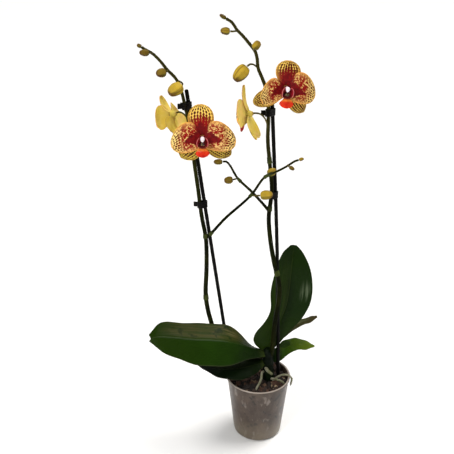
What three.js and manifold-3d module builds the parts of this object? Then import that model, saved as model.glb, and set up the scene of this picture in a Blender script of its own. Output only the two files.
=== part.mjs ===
// A potted moth orchid: two flower spikes tied to stakes, five leaves, bark and aerial roots in a grow pot.
// Millimetres, +Z up. The origin is the middle of the pot's foot, and the viewer's side is -Y.
import * as THREE from 'three';
import { mergeVertices } from 'three/addons/utils/BufferGeometryUtils.js';
import Module from 'manifold-3d';

const wasm = await Module();
wasm.setup();

// Pot.
const rimDiameter = 120;
const footDiameter = 91.6;
const potHeight = 122;
const potWall = 1.4;
const rimBand = 4;
const rimOverhang = 2;
const footSlots = 8;
const slotSize = [9, 4, 6];

// Bark filling.
const barkTop = 108;
const chipRings = [4, 6, 9, 12];
const chipSize = [11, 7, 5];
const chipRingStep = 11.5;
const barkSeed = 7;

// Stems, stakes and what ties them.
const stakeRadius = 3.2;
const spikeRadius = 4.6;
const spikeTipRadius = 2.2;
const branchRadius = 2.6;
const branchTipRadius = 1.7;
const pedicelRadius = 1.2;
const clipHeight = 12;
const clipRadius = 4.9;

// Leaves and flowers.
const leafThickness = 2.2;
const leafEdge = 1;
const tepalThickness = 0.9;
const tepalClaw = 1.6;
const lipThickness = 1.1;
const columnLength = 10;
const columnRadius = 3.5;

// Neighbouring pieces keep this gap.
const gap = 0.3;
const mergeStep = 1e-4;

const point = (xyz) => new THREE.Vector3(...xyz);
const smoothCurve = (points) => new THREE.CatmullRomCurve3(points.map(point), false, 'centripetal');

// ---- Solids -------------------------------------------------------------------------------------

function toSolid(geometry) {
  const bare = geometry.clone();
  bare.deleteAttribute('normal');
  bare.deleteAttribute('uv');
  const merged = mergeVertices(bare, mergeStep);
  const corners = merged.index.array;
  const kept = [];
  for (let i = 0; i < corners.length; i += 3) {
    const [a, b, c] = corners.slice(i, i + 3);
    if (a !== b && b !== c && c !== a) kept.push(a, b, c);
  }
  return new wasm.Manifold(new wasm.Mesh({
    numProp: 3,
    vertProperties: Float32Array.from(merged.attributes.position.array),
    triVerts: Uint32Array.from(kept),
  }));
}

function toGeometry(solid) {
  const mesh = solid.getMesh();
  const geometry = new THREE.BufferGeometry();
  geometry.setAttribute('position', new THREE.BufferAttribute(mesh.vertProperties, 3));
  geometry.setIndex(new THREE.BufferAttribute(mesh.triVerts, 1));
  geometry.computeVertexNormals();
  return geometry;
}

const join = (solids) => solids.reduce((sum, solid) => sum.add(solid));
const cut = (body, tools) => tools.reduce((rest, tool) => rest.subtract(tool), body);

// The one body left of a cut, without the loose scraps.
function mainBody(solid) {
  const bodies = solid.decompose();
  return bodies.reduce((best, body) => (body.volume() > best.volume() ? body : best));
}

// A closed tube along a curve: a cylinder whose rings are laid across it, each with its own radius.
function tube(curve, radiusAt, steps, sides) {
  const cylinder = new THREE.CylinderGeometry(1, 1, 1, sides, steps);
  const frames = curve.computeFrenetFrames(steps, false);
  const position = cylinder.attributes.position;
  for (let i = 0; i < position.count; i++) {
    const ring = Math.round((0.5 + position.getY(i)) * steps);
    const angle = Math.atan2(position.getZ(i), position.getX(i));
    const radius = radiusAt(ring / steps, angle);
    const place = curve.getPointAt(ring / steps);
    place.addScaledVector(frames.normals[ring], position.getX(i) * radius);
    place.addScaledVector(frames.binormals[ring], -position.getZ(i) * radius);
    position.setXYZ(i, place.x, place.y, place.z);
  }
  return toSolid(cylinder);
}

const rod = (from, to, radius, sides) => tube(new THREE.LineCurve3(point(from), point(to)), () => radius, 1, sides);

// A closed body turned about the upright axis from a profile of radius and height.
const turned = (profile, segments) => toSolid(
  new THREE.LatheGeometry(profile.map(([r, z]) => new THREE.Vector2(r, z)), segments)).rotate([90, 0, 0]);

// A closed blade: a grid of points on its middle surface, moved out to both faces along the normal.
// Both faces are split into triangles alike, so that a waved blade never crosses itself.
function blade(rows, columns, surfaceAt, thicknessAt) {
  const width = columns + 1;
  const sheet = width * (rows + 1);
  const positions = [];
  for (const side of [0.5, -0.5]) {
    for (let row = 0; row <= rows; row++) {
      for (let column = 0; column <= columns; column++) {
        const along = row / rows;
        const across = (2 * column) / columns - 1;
        const place = surfaceAt(along, across);
        place.addScaledVector(bladeNormal(surfaceAt, along, across), side * thicknessAt(along, across));
        positions.push(place.x, place.y, place.z);
      }
    }
  }
  const index = [];
  for (let row = 0; row < rows; row++) {
    for (let column = 0; column < columns; column++) {
      const a = row * width + column;
      const [b, c, d] = [a + 1, a + width + 1, a + width];
      index.push(a, b, c, a, c, d);
      index.push(a + sheet, c + sheet, b + sheet, a + sheet, d + sheet, c + sheet);
    }
  }
  const border = bladeBorder(rows, columns);
  border.forEach((p, i) => {
    const q = border[(i + 1) % border.length];
    index.push(q, p, p + sheet, q, p + sheet, q + sheet);
  });
  const geometry = new THREE.BufferGeometry();
  geometry.setAttribute('position', new THREE.Float32BufferAttribute(positions, 3));
  geometry.setIndex(index);
  return toSolid(geometry);
}

function bladeNormal(surfaceAt, along, across) {
  const step = 0.02;
  const inner = THREE.MathUtils.clamp(along, 0.03, 0.97);
  const acrossStep = surfaceAt(inner, Math.min(across + step, 1)).sub(surfaceAt(inner, Math.max(across - step, -1)));
  const alongStep = surfaceAt(inner + step, across).sub(surfaceAt(inner - step, across));
  return acrossStep.cross(alongStep).normalize();
}

function bladeBorder(rows, columns) {
  const width = columns + 1;
  const border = [];
  for (let column = 0; column < columns; column++) border.push(column);
  for (let row = 0; row < rows; row++) border.push(row * width + columns);
  for (let column = columns; column > 0; column--) border.push(rows * width + column);
  for (let row = rows; row > 0; row--) border.push(row * width);
  return border;
}

// ---- Pot, bark and crown ------------------------------------------------------------------------

function makePot() {
  const rim = rimDiameter / 2;
  const foot = footDiameter / 2;
  const wallTop = rim - rimOverhang;
  const bandFoot = potHeight - rimBand;
  const outside = [
    [0, 0], [foot - 8, 0], [foot - 3.5, 1], [foot - 0.8, 4], [foot, 8],
    [wallTop, bandFoot], [rim, bandFoot], [rim, potHeight - 0.8], [rim - 0.8, potHeight],
  ];
  const inside = [
    [wallTop - 0.4, potHeight], [wallTop - potWall, bandFoot],
    [foot - potWall, 8.5], [foot - potWall - 1, 5], [foot - potWall - 3.5, 2.6], [foot - 9, 1.6], [0, 1.6],
  ];
  const shell = turned([...outside, ...inside], 32);
  const slots = [];
  for (let i = 0; i < footSlots; i++) {
    const slot = new THREE.BoxGeometry(...slotSize);
    slot.translate(foot - 2, 0, 1.5);
    slot.rotateZ(((i + 0.5) * 2 * Math.PI) / footSlots);
    slots.push(toSolid(slot));
  }
  return cut(shell, slots);
}

// Seeded draws, so that the chips lie the same way each time.
function seededDraws(seed) {
  let state = seed;
  return () => {
    state = (state * 16807) % 2147483647;
    return state / 2147483647;
  };
}

// A broken chip: a block with every corner pushed in by its own amount.
function chip(draw, size, place) {
  const block = new THREE.BoxGeometry(...size);
  const corners = new Map();
  const position = block.attributes.position;
  for (let i = 0; i < position.count; i++) {
    const corner = point([position.getX(i), position.getY(i), position.getZ(i)]);
    const key = corner.toArray().map(Math.sign).join();
    if (!corners.has(key)) corners.set(key, 0.62 + 0.38 * draw());
    corner.multiplyScalar(corners.get(key));
    position.setXYZ(i, corner.x, corner.y, corner.z);
  }
  block.rotateX((draw() - 0.5) * 1.1);
  block.rotateY((draw() - 0.5) * 1.1);
  block.rotateZ(draw() * Math.PI);
  block.translate(...place);
  return toSolid(block);
}

function makeBark(holes) {
  const draw = seededDraws(barkSeed);
  const foot = footDiameter / 2 - potWall - gap;
  const wallSlope = (rimDiameter / 2 - rimOverhang - footDiameter / 2) / (potHeight - rimBand - 8);
  const top = foot + wallSlope * (barkTop - 8);
  const core = turned([
    [0, 2], [foot - 9, 2], [foot - 3.8, 3.4], [foot - 1.2, 5.6], [foot, 8.8], [top, barkTop], [0, barkTop],
  ], 24);
  const chips = chipRings.flatMap((count, ring) => Array.from({ length: count }, (_, i) => {
    const angle = ((i + draw() * 0.6) * 2 * Math.PI) / count;
    const radius = (ring + 0.8) * chipRingStep + (draw() - 0.5) * 5;
    const size = chipSize.map((side) => side * (0.75 + 0.6 * draw()));
    return chip(draw, size, [radius * Math.cos(angle), radius * Math.sin(angle), barkTop + draw() * 2.4]);
  }));
  return mainBody(cut(join([core, ...chips]), holes));
}

const crown = { foot: [20, 1, 78], head: [17, 2, 177], radius: 11.4, taper: 2.2, sheathStep: 0.9, tip: 6 };

// The crown is ringed by the steps of old leaf sheaths, and rounds off at its head.
function crownRadius(along) {
  const sheath = crown.sheathStep * (1 - ((along * 6) % 1));
  return along > 0.95 ? crown.tip : crown.radius - crown.taper * along + sheath;
}

const makeCrown = (clearance) => tube(
  new THREE.LineCurve3(point(crown.foot), point(crown.head)), (along) => crownRadius(along) + clearance, 7, 8);

// ---- Leaves -------------------------------------------------------------------------------------

// Each station gives the left margin, the midrib and the right margin.
const leaves = {
  leaf_large_left: {
    rows: 11, columns: 8, stations: [
      [[12, 5, 173], [13, -3, 170], [12, -8, 164]],
      [[-11, 3, 180], [-20, -12, 189], [-14, -23, 171]],
      [[-38, 3, 213], [-44, -24, 205], [-46, -50, 176]],
      [[-63, 1, 229], [-78, -34, 218], [-79, -62, 180]],
      [[-95, -6, 235], [-118, -42, 225], [-112, -69, 188]],
      [[-135, -17, 243], [-150, -48, 232], [-142, -71, 201]],
      [[-176, -35, 254], [-180, -54, 237], [-170, -69, 214]],
      [[-196, -54, 241], [-192, -58, 235], [-195, -62, 232]],
    ],
  },
  leaf_low_left: {
    rows: 8, columns: 6, stations: [
      [[12, 4, 153], [11, -3, 149], [11, -9, 146]],
      [[-14, 5, 154], [-16, -12, 147], [-12, -22, 132]],
      [[-44, 2, 157], [-44, -24, 149], [-42, -43, 138]],
      [[-76, -5, 160], [-76, -31, 153], [-78, -52, 152]],
      [[-100, -16, 165], [-99, -36, 161], [-101, -48, 165]],
      [[-112, -32, 168], [-112, -37, 168], [-112, -41, 168]],
    ],
  },
  leaf_tall_right: {
    rows: 11, columns: 6, stations: [
      [[10, 5, 168], [17, 6, 167], [25, 9, 167]],
      [[-9, 7, 185], [22, 11, 186], [40, 12, 183]],
      [[-8, 7, 205], [30, 15, 205], [57, 14, 205]],
      [[12, 12, 229], [42, 20, 232], [80, 17, 232]],
      [[21, 16, 252], [50, 23, 256], [94, 20, 259]],
      [[20, 18, 285], [55, 27, 290], [98, 25, 290]],
      [[27, 23, 322], [58, 33, 330], [93, 29, 326]],
      [[41, 32, 358], [61, 40, 358], [81, 37, 353]],
      [[55, 41, 370], [61, 42, 370], [67, 41, 369]],
    ],
  },
  leaf_narrow_right: {
    rows: 8, columns: 4, stations: [
      [[14, 10.5, 174], [17, 10.5, 170], [20, 10.5, 167]],
      [[28, 24, 189], [32, 23, 182], [37, 20, 179]],
      [[49, 32, 202], [52, 30, 196], [56, 25, 192]],
      [[74, 40, 214], [77, 37, 209], [79, 32, 206]],
      [[96, 48, 217], [97, 45, 212], [98, 41, 208]],
      [[112, 52, 219], [113, 51, 217], [114, 49, 215]],
    ],
  },
  leaf_small_right: {
    rows: 8, columns: 4, stations: [
      [[20, 6, 164.5], [20, 5.8, 158], [20, 5.4, 152]],
      [[32, 6, 176], [34, 7, 159], [35, 8, 142]],
      [[46, 11, 188], [48, 9, 171], [48, 7, 152]],
      [[66, 9, 195], [68, 3, 185], [68, -2, 175]],
      [[84, 6, 193], [87, 0, 185], [85, -5, 178]],
      [[101, 0, 186], [104, -3, 185], [101, -5, 183]],
    ],
  },
};

function makeLeaf(leaf, clearance) {
  const [left, midrib, right] = [0, 1, 2].map((i) => smoothCurve(leaf.stations.map((station) => station[i])));
  const surfaceAt = (along, across) => {
    const middle = midrib.getPoint(along);
    const margin = (across < 0 ? left : right).getPoint(along);
    const width = Math.abs(across);
    const widening = 1 + clearance / middle.distanceTo(margin);
    const place = middle.clone().lerp(margin, width * widening).lerp(middle, 0.12 * width * (1 - width));
    const foot = along === 0 ? midrib.getTangent(0).multiplyScalar(-2 * clearance) : point([0, 0, 0]);
    return place.add(foot);
  };
  const thicknessAt = (along, across) => {
    const taper = 1 - 0.45 * along;
    return (leafEdge + (leafThickness - leafEdge) * (1 - Math.abs(across)) * taper) + 2 * clearance;
  };
  return blade(leaf.rows, leaf.columns, surfaceAt, thicknessAt);
}

// ---- Roots --------------------------------------------------------------------------------------

const roots = {
  root_front: { radius: 2.3, steps: 9, route: [
    [11, -4, 131], [6, -12, 132], [5, -20, 128], [2, -27, 122], [-3, -33, 116], [-7, -38, 108], [-8, -41, 99]] },
  root_middle: { radius: 3.3, steps: 5, route: [[14, -5, 139], [16, -13, 139], [21, -17, 136], [26, -18, 133]] },
  root_right: { radius: 2.2, steps: 8, route: [
    [20, -4, 115], [31, -13, 119], [40, -19, 120], [46, -21, 117], [49, -19, 111], [49, -16, 104]] },
  root_rim: { radius: 2.2, steps: 9, route: [
    [26, -5, 108], [36, -9, 121], [46, -12, 128], [56, -13, 127.5], [62, -14.5, 121.5], [61, -15.5, 113], [60, -16, 107]] },
  root_back: { radius: 2.4, steps: 9, route: [
    [12, 6, 130], [2, 22, 131], [-8, 34, 122], [-20, 40, 114], [-31, 38, 109], [-38, 26, 108]] },
};

const makeRoot = (root, clearance) => tube(
  smoothCurve(root.route), (along) => root.radius * (1 - 0.3 * along ** 3) + clearance, root.steps, 6);

// ---- Stakes and spikes --------------------------------------------------------------------------

const stakes = {
  stake_left: [[-36, 14, 12], [-65, 8.3, 227], [-94, 2.7, 442], [-123, -3, 656]],
  stake_right: [[41, 4, 12], [35, 3, 211], [27.5, 2, 395], [12.5, 1, 640]],
};

const makeStake = (route, clearance) => tube(smoothCurve(route), () => stakeRadius + clearance, 5, 7);

// Buds give the place on the stem, the end of the pedicel, the tip and the diameter.
const spikes = {
  left: {
    stem: [
      [11, 5, 158], [-22, 6, 163], [-55, 1.5, 172], [-77, 4, 198], [-88, 7, 230], [-97, 6, 281], [-95, 3, 347],
      [-95.5, -0.5, 400], [-102, -0.5, 441], [-107.8, -4.5, 496], [-113, -6, 540], [-118, -8, 592], [-125, -10, 630],
      [-130, -12, 654], [-138, -13, 674], [-151, -14, 688], [-161, -15, 701], [-172, -16, 712], [-184, -17, 719],
      [-188, -18, 722]],
    branch: [
      [-95, -0.5, 401], [-86, -6, 412], [-63, -12, 441], [-20, -24, 487], [0, -29, 518], [9, -31, 525], [22, -32, 531],
      [36, -33, 539], [49, -34, 548], [55, -34, 550]],
    stemJoints: [0.285, 0.47],
    branchJoints: [0.06, 0.52],
    buds: {
      bud_left_1: [[-137, -13, 672], [-129, -18, 665], [-148, -32, 654], 23],
      bud_left_2: [[-151, -14, 688], [-152, -20, 686], [-167, -27, 683], 15],
      bud_left_3: [[-172, -16, 712], [-176, -22, 714], [-191, -27, 715], 11],
      bud_left_tip: [null, [-188, -18, 722], [-195, -19, 726], 7],
      bud_left_branch_1: [[-20, -24, 487], [-5, -27, 488], [16, -31, 491], 17.5],
      bud_left_branch_2: [[6, -30, 523], [7, -24, 523], [21, -16, 529], 14],
      bud_left_branch_3: [[38, -33, 541], [40, -37, 540], [48, -41, 536], 7],
      bud_left_branch_tip: [null, [55, -34, 550], [63, -35, 553], 6],
    },
  },
  right: {
    stem: [
      [17, 1, 151], [22, -1, 162], [25, -3, 180], [27, -4, 211], [29, -5, 243], [33.8, -6, 286], [33, -6, 316],
      [23, -4, 358], [15, -4, 404], [12, -4, 443], [15.8, -5.5, 489], [11.5, -5.5, 533], [7, -6, 575], [7, -7, 616],
      [5, -9, 644], [1, -10, 661], [-5, -11, 676], [-11, -12, 690], [-13, -13, 705], [-16, -14, 715],
      [-22, -15, 723], [-35, -16, 738], [-44, -17, 747], [-52, -18, 758], [-60, -20, 763]],
    branch: [
      [12, -4, 452], [2, -9, 466], [-18, -14, 490], [-42, -14, 514], [-53, -13, 533], [-60, -12, 541], [-66, -12, 541]],
    stemJoints: [0.286, 0.48, 0.61],
    branchJoints: [0.6],
    buds: {
      bud_right_1: [[-10, -12, 688], [-28, -20, 694], [-48, -26, 673], 24],
      bud_right_2: [[-17, -14, 716], [-18, -20, 720], [-11, -28, 731], 14],
      bud_right_3: [[-43, -17, 746], [-54, -19, 745], [-69, -20, 746], 12],
      bud_right_tip: [null, [-60, -20, 763], [-70, -20, 769], 7],
      bud_right_branch_1: [[-42, -14, 514], [-49, -17, 512], [-64, -20, 511], 14],
      bud_right_branch_tip: [null, [-66, -12, 541], [-81, -11, 540], 11],
    },
  },
};

// A bloom's place, the way it faces, its upright direction, and each tepal's angle from upright, forward lean,
// length and width. The pedicel leaves the stem at joint.
const blooms = {
  left_front: {
    spike: 'left', joint: [-118, -8, 584], centre: [-97, -45, 588], facing: [0.03, -1, 0.06], up: [0, 0.06, 1],
    dorsal: [-4, -5, 52, 41], petalRight: [98, 2, 52, 47], petalLeft: [-103, 0, 50, 47],
    lateralRight: [124, -13, 55, 32], lateralLeft: [-133, -13, 49, 36],
  },
  right_front: {
    spike: 'right', joint: [5, -9, 643], centre: [30, -45, 664], facing: [0.12, -1, 0.06], up: [0.1, 0.06, 1],
    dorsal: [0, -1, 41.5, 39], petalRight: [100, 1, 46, 46], petalLeft: [-121, 4, 42, 35],
    lateralRight: [134, -13, 50, 28], lateralLeft: [-121, -12, 54, 28],
  },
  left_rear: {
    spike: 'left', joint: [-120, -8, 606], centre: [-146, 6, 615], facing: [-0.8, 0.45, -0.4], up: [-0.45, -0.1, 0.85],
    dorsal: [0, 8, 35, 18], petalRight: [90, 20, 37, 35], petalLeft: [-124, 16, 34, 32],
    lateralRight: [132, 2, 34, 34], lateralLeft: [-150, 0, 36, 34],
  },
  right_rear: {
    spike: 'right', joint: [7, -6.5, 592], centre: [-25, -12, 619], facing: [-0.93, 0.3, -0.2], up: [-0.25, 0, 0.97],
    dorsal: [0, 0, 46, 18], petalRight: [88, 4, 46, 42], petalLeft: [-112, 14, 44, 36],
    lateralRight: [150, -12, 44, 32], lateralLeft: [-160, -6, 46, 32],
  },
};

const stemRadius = (along) => THREE.MathUtils.lerp(spikeRadius, spikeTipRadius, along ** 1.3);

const makeStem = (route, clearance) => tube(
  smoothCurve(route), (along) => stemRadius(along) + clearance, Math.round(route.length * 1.2), 6);

// A joint of the stem: a ring and the sheath that hugs the stem above it.
function stemJoint(curve, at, radius) {
  const length = 9 / curve.getLength();
  const places = [0, 0.3, 1].map((t) => curve.getPointAt(Math.min(at + t * length, 1)));
  const sheath = [0.9, 1.1, 0.15];
  return tube(new THREE.CatmullRomCurve3(places), (along) => radius + sheath[Math.round(along * 2)], 2, 5);
}

// A pedicel leaves the stem and ends square to what it carries.
function pedicel(start, end, axis) {
  const reach = point(start).distanceTo(point(end)) * 0.55;
  const control = point(end).addScaledVector(axis, -reach);
  const curve = new THREE.QuadraticBezierCurve3(point(start), control, point(end));
  return tube(curve, (along) => pedicelRadius + 0.3 * along, 3, 5);
}

const budAxis = ([, base, tip]) => point(tip).sub(point(base)).normalize();

function makeSpike(spike, side) {
  const stem = smoothCurve(spike.stem);
  const branch = smoothCurve(spike.branch);
  const parts = [
    makeStem(spike.stem, 0),
    tube(branch, (along) => THREE.MathUtils.lerp(branchRadius, branchTipRadius, along), 12, 5),
    ...spike.stemJoints.map((at) => stemJoint(stem, at, stemRadius(at))),
    ...spike.branchJoints.map((at) => stemJoint(branch, at, branchRadius)),
  ];
  for (const bud of Object.values(spike.buds)) {
    if (bud[0]) parts.push(pedicel(bud[0], bud[1], budAxis(bud)));
  }
  for (const bloom of Object.values(blooms).filter((one) => one.spike === side)) {
    const frame = bloomFrame(bloom);
    const back = point([0, receptacleBack + gap, 0]).applyMatrix4(frame);
    parts.push(pedicel(bloom.joint, back.toArray(), point(bloom.facing).normalize()));
  }
  return join(parts);
}

// A bud: three sepals closed round each other, so it has three soft ridges and a blunt tip.
function makeBud([, base, tip, diameter]) {
  const axis = point(tip).sub(point(base));
  const start = point(base).addScaledVector(axis.clone().normalize(), gap);
  const seat = 1.2;
  const radiusAt = (along, angle) => {
    const fullness = Math.sin(Math.PI * along ** 0.85) ** 0.75;
    const ridges = 1 + 0.07 * Math.cos(3 * angle);
    return Math.max((along === 1 ? 0.5 : seat), (diameter / 2) * fullness * ridges * (along < 1 ? 1 : 0));
  };
  return tube(new THREE.LineCurve3(start, point(tip)), radiusAt, 5, diameter > 10 ? 9 : 6);
}

// ---- Blooms -------------------------------------------------------------------------------------

const receptacleRadius = 5.4;
const receptacleFront = -4.2;
const receptacleBack = 8;

// Turns the bloom's own frame, which faces -Y with its dorsal sepal up, into the plant's.
function bloomFrame({ centre, facing, up }) {
  const back = point(facing).normalize().negate();
  const side = back.clone().cross(point(up)).normalize();
  const upright = side.clone().cross(back);
  return new THREE.Matrix4().makeBasis(side, back, upright).setPosition(point(centre));
}

// The outline swells as reach ** foot and closes as (1 - reach) ** tip.
const tepalShapes = {
  dorsal: { rows: 6, columns: 4, foot: 0.8, tip: 0.55, forward: 0, bow: 4, edge: 3, wave: 0.5, rise: 0 },
  petalRight: { rows: 6, columns: 6, foot: 0.28, tip: 0.5, forward: 1.8, bow: 5, edge: 3.5, wave: 0.9, rise: -7.5 },
  petalLeft: { rows: 6, columns: 6, foot: 0.28, tip: 0.5, forward: 1.8, bow: 5, edge: 3.5, wave: 0.9, rise: 7.5 },
  lateralRight: { rows: 6, columns: 4, foot: 0.7, tip: 0.6, forward: 0, bow: 4, edge: 2.5, wave: 0.5, rise: 0 },
  lateralLeft: { rows: 6, columns: 4, foot: 0.7, tip: 0.6, forward: 0, bow: 4, edge: 2.5, wave: 0.5, rise: 0 },
};

function outlineAt({ foot, tip }, reach) {
  const swell = (at) => at ** foot * (1 - at) ** tip;
  return swell(reach) / swell(foot / (foot + tip));
}

// A tepal stands up from the middle of the bloom: a rounded outline with a narrow foot, bowed forward along
// its length, with its edges and tip turned back and a light wave. A petal rises towards the dorsal sepal.
function makeTepal([angle, lean, length, width], shape) {
  const turn = new THREE.Matrix4().makeRotationY(THREE.MathUtils.degToRad(angle));
  const tilt = new THREE.Matrix4().makeRotationX(THREE.MathUtils.degToRad(lean));
  const place = turn.multiply(tilt);
  const surfaceAt = (along, across) => {
    const reach = (1 - Math.cos(Math.PI * along)) / 2;
    const half = tepalClaw + (width / 2 - tepalClaw) * outlineAt(shape, reach);
    const bow = -shape.bow * Math.sin(Math.PI * reach * 0.8);
    const back = shape.edge * across ** 2 * Math.sin((Math.PI * reach) / 2) + 3 * reach ** 4;
    const wave = shape.wave * Math.sin(9 * reach + 1.5 * across) * across * reach;
    const start = 2 + (length - 2) * reach;
    const rise = shape.rise * Math.sin(Math.PI * reach ** 0.6);
    return point([across * half + rise, bow + back + wave - shape.forward, start]).applyMatrix4(place);
  };
  return blade(shape.rows, shape.columns, surfaceAt, () => tepalThickness);
}

function makeReceptacle() {
  const axis = new THREE.LineCurve3(point([0, receptacleFront, 0]), point([0, receptacleBack, 0]));
  const radii = [receptacleRadius, receptacleRadius, 2.6, 1.6];
  return tube(axis, (along) => radii[Math.round(along * 3)], 3, 8);
}

const makeTepals = (bloom) => join([
  makeReceptacle(),
  ...Object.entries(tepalShapes).map(([name, shape]) => makeTepal(bloom[name], shape)),
]);

// Each station of the lip gives its half width, then how far forward and how high its margin and its middle lie.
const lipStations = [
  [1.6, 1.2, -4.2, 1.2, -4.2], [5.2, 4.5, -5.5, 4.5, -7.5], [6.4, 8, -9, 7.5, -11], [5.2, 9.5, -13, 9.5, -14],
  [9.5, 9.5, -17.5, 11.5, -17], [11, 10, -21, 12.5, -20.5], [7.5, 11, -25, 13, -24], [1.5, 12.6, -27, 13.2, -27],
];

// A hollow throat and a spade-shaped middle lobe in one blade.
function lipBlade(front) {
  const margin = smoothCurve(lipStations.map(([half, forward, height]) => [half, front - forward, height]));
  const middle = smoothCurve(lipStations.map(([, , , forward, height]) => [0, front - forward, height]));
  return blade(7, 4, (along, across) => {
    const [edge, rib] = [margin.getPoint(along), middle.getPoint(along)];
    const place = rib.clone().lerp(edge, across ** 2);
    return place.setX(edge.x * across);
  }, () => lipThickness);
}

// A side lobe stands up beside the column, curved like a bracket.
const sideLobe = (sign, front) => blade(3, 2, (along, across) => {
  const reach = (1 - Math.cos(Math.PI * along)) / 2;
  const half = 1.2 + 3.2 * Math.sin(Math.PI * along ** 1.1) ** 0.8;
  const out = 5.8 + 2.2 * Math.sin(0.9 * Math.PI * reach) - 1.9 * reach ** 2;
  const flare = 1.5 * Math.max(0, -across) ** 2;
  return point([sign * (out + flare), front - 8 - 1.6 * reach + across * half, -11 + 14 * reach]);
}, () => lipThickness);

// The lip: a claw, the blade, two side lobes and a callus in the throat.
function makeLip() {
  const front = receptacleFront - gap;
  const claw = rod([0, front - 0.4, -4.2], [0, front - 5, -6.2], 1.6, 5);
  const callus = new THREE.SphereGeometry(1, 5, 4);
  callus.scale(4, 2.6, 2.4).translate(0, front - 6.4, -7.6);
  return join([claw, toSolid(callus), lipBlade(front), sideLobe(1, front), sideLobe(-1, front)]);
}

function makeColumn() {
  const front = receptacleFront - gap;
  const axis = new THREE.LineCurve3(point([0, front, 1.6]), point([0, front - columnLength, 0.6]));
  const swell = [0.86, 0.8, 0.9, 1, 0.95, 0.5];
  return tube(axis, (along) => columnRadius * swell[Math.round(along * 5)], 5, 6);
}

// ---- Clips --------------------------------------------------------------------------------------

// The grips leave the stem's end of the band at their own turn: 0 runs straight on, 90 turns to the back.
const clips = {
  clip_left_top: { height: 631, spike: 'left', stake: 'stake_left', turn: 75 },
  clip_left_low: { height: 463, spike: 'left', stake: 'stake_left', turn: 80 },
  clip_right_top: { height: 620, spike: 'right', stake: 'stake_right', turn: 15 },
  clip_right_low: { height: 480, spike: 'right', stake: 'stake_right', turn: 80 },
};

const gripSize = [8, 1.6];
const gripSpread = 28;

// Where a route passes a given height.
function crossing(route, height) {
  const above = route.findIndex(([, , z]) => z > height);
  const [low, high] = [point(route[above - 1]), point(route[above])];
  return low.lerp(high, (height - low.z) / (high.z - low.z));
}

// A clip: a band with round ends about stem and stake, and two finger grips on the stem side.
function makeClip({ height, spike, stake, turn }) {
  const stemSide = crossing(spikes[spike].stem, height);
  const stakeSide = crossing(stakes[stake], height);
  const axis = stakeSide.clone().sub(stemSide);
  const halfSpan = axis.length() / 2;
  const outline = new THREE.Shape();
  outline.absarc(halfSpan, 0, clipRadius, -Math.PI / 2, Math.PI / 2, false);
  outline.absarc(-halfSpan, 0, clipRadius, Math.PI / 2, (3 * Math.PI) / 2, false);
  const band = new THREE.ExtrudeGeometry(outline, { depth: clipHeight, bevelEnabled: false, curveSegments: 4 });
  band.translate(0, 0, -clipHeight / 2);
  const grip = (sign) => {
    const tab = new THREE.BoxGeometry(...gripSize, clipHeight * 0.7);
    tab.translate(clipRadius + gripSize[0] / 2 - 1, 0, 0);
    tab.rotateZ(THREE.MathUtils.degToRad(180 - turn + sign * gripSpread));
    return toSolid(tab.translate(-halfSpan, 0, 0));
  };
  const middle = stemSide.clone().add(stakeSide).multiplyScalar(0.5);
  const place = new THREE.Matrix4().makeRotationZ(Math.atan2(axis.y, axis.x)).setPosition(middle);
  const body = join([toSolid(band), grip(1), grip(-1)]).transform(place.elements);
  return mainBody(cut(body, [makeStem(spikes[spike].stem, gap), makeStake(stakes[stake], gap)]));
}

// ---- The plant ----------------------------------------------------------------------------------

const finishes = {
  pot: { color: '#8f847a', roughness: 0.35, metalness: 0 },
  bark: { color: '#3b2a1f', roughness: 0.9, metalness: 0 },
  leaf: { color: '#1d3a1a', roughness: 0.35, metalness: 0 },
  root: { color: '#8d917c', roughness: 0.7, metalness: 0 },
  stem: { color: '#3f4a20', roughness: 0.5, metalness: 0 },
  bud: { color: '#b5ab4a', roughness: 0.5, metalness: 0 },
  tepal: { color: '#dcae4c', roughness: 0.55, metalness: 0 },
  lip: { color: '#c62a1c', roughness: 0.45, metalness: 0 },
  column: { color: '#f0d8d8', roughness: 0.45, metalness: 0 },
  stake: { color: '#1a1917', roughness: 0.5, metalness: 0 },
  clip: { color: '#22201d', roughness: 0.4, metalness: 0 },
};

const plant = new THREE.Group();

function addNode(name, finish, solid) {
  const mesh = new THREE.Mesh(toGeometry(solid), new THREE.MeshStandardMaterial(finishes[finish]));
  mesh.name = name;
  plant.add(mesh);
}

const grown = [
  ...Object.values(leaves).map((leaf) => makeLeaf(leaf, gap)),
  ...Object.values(roots).map((root) => makeRoot(root, gap)),
  ...Object.values(spikes).map((spike) => makeStem(spike.stem, gap)),
];
const barkHoles = [
  makeCrown(gap),
  ...Object.values(roots).map((root) => makeRoot(root, gap)),
  ...Object.values(stakes).map((stake) => makeStake(stake, gap)),
];

addNode('pot', 'pot', makePot());
addNode('bark_mix', 'bark', makeBark(barkHoles));
addNode('crown', 'stem', mainBody(cut(makeCrown(0), grown)));
for (const [name, leaf] of Object.entries(leaves)) addNode(name, 'leaf', makeLeaf(leaf, 0));
for (const [name, root] of Object.entries(roots)) addNode(name, 'root', makeRoot(root, 0));
for (const [name, stake] of Object.entries(stakes)) addNode(name, 'stake', makeStake(stake, 0));
for (const [side, spike] of Object.entries(spikes)) {
  addNode(`spike_${side}`, 'stem', makeSpike(spike, side));
  for (const [name, bud] of Object.entries(spike.buds)) addNode(name, 'bud', makeBud(bud));
}
for (const [name, clip] of Object.entries(clips)) addNode(name, 'clip', makeClip(clip));
for (const [name, bloom] of Object.entries(blooms)) {
  const frame = bloomFrame(bloom).elements;
  addNode(`tepals_${name}`, 'tepal', makeTepals(bloom).transform(frame));
  addNode(`lip_${name}`, 'lip', makeLip().transform(frame));
  addNode(`column_${name}`, 'column', makeColumn().transform(frame));
}

export default plant;
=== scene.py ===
# A potted moth orchid, dressed over its frame: metres, +Z up, the viewer's side is -Y.
import math
import random
import bmesh
import bpy
from mathutils import Matrix, Vector


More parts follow.
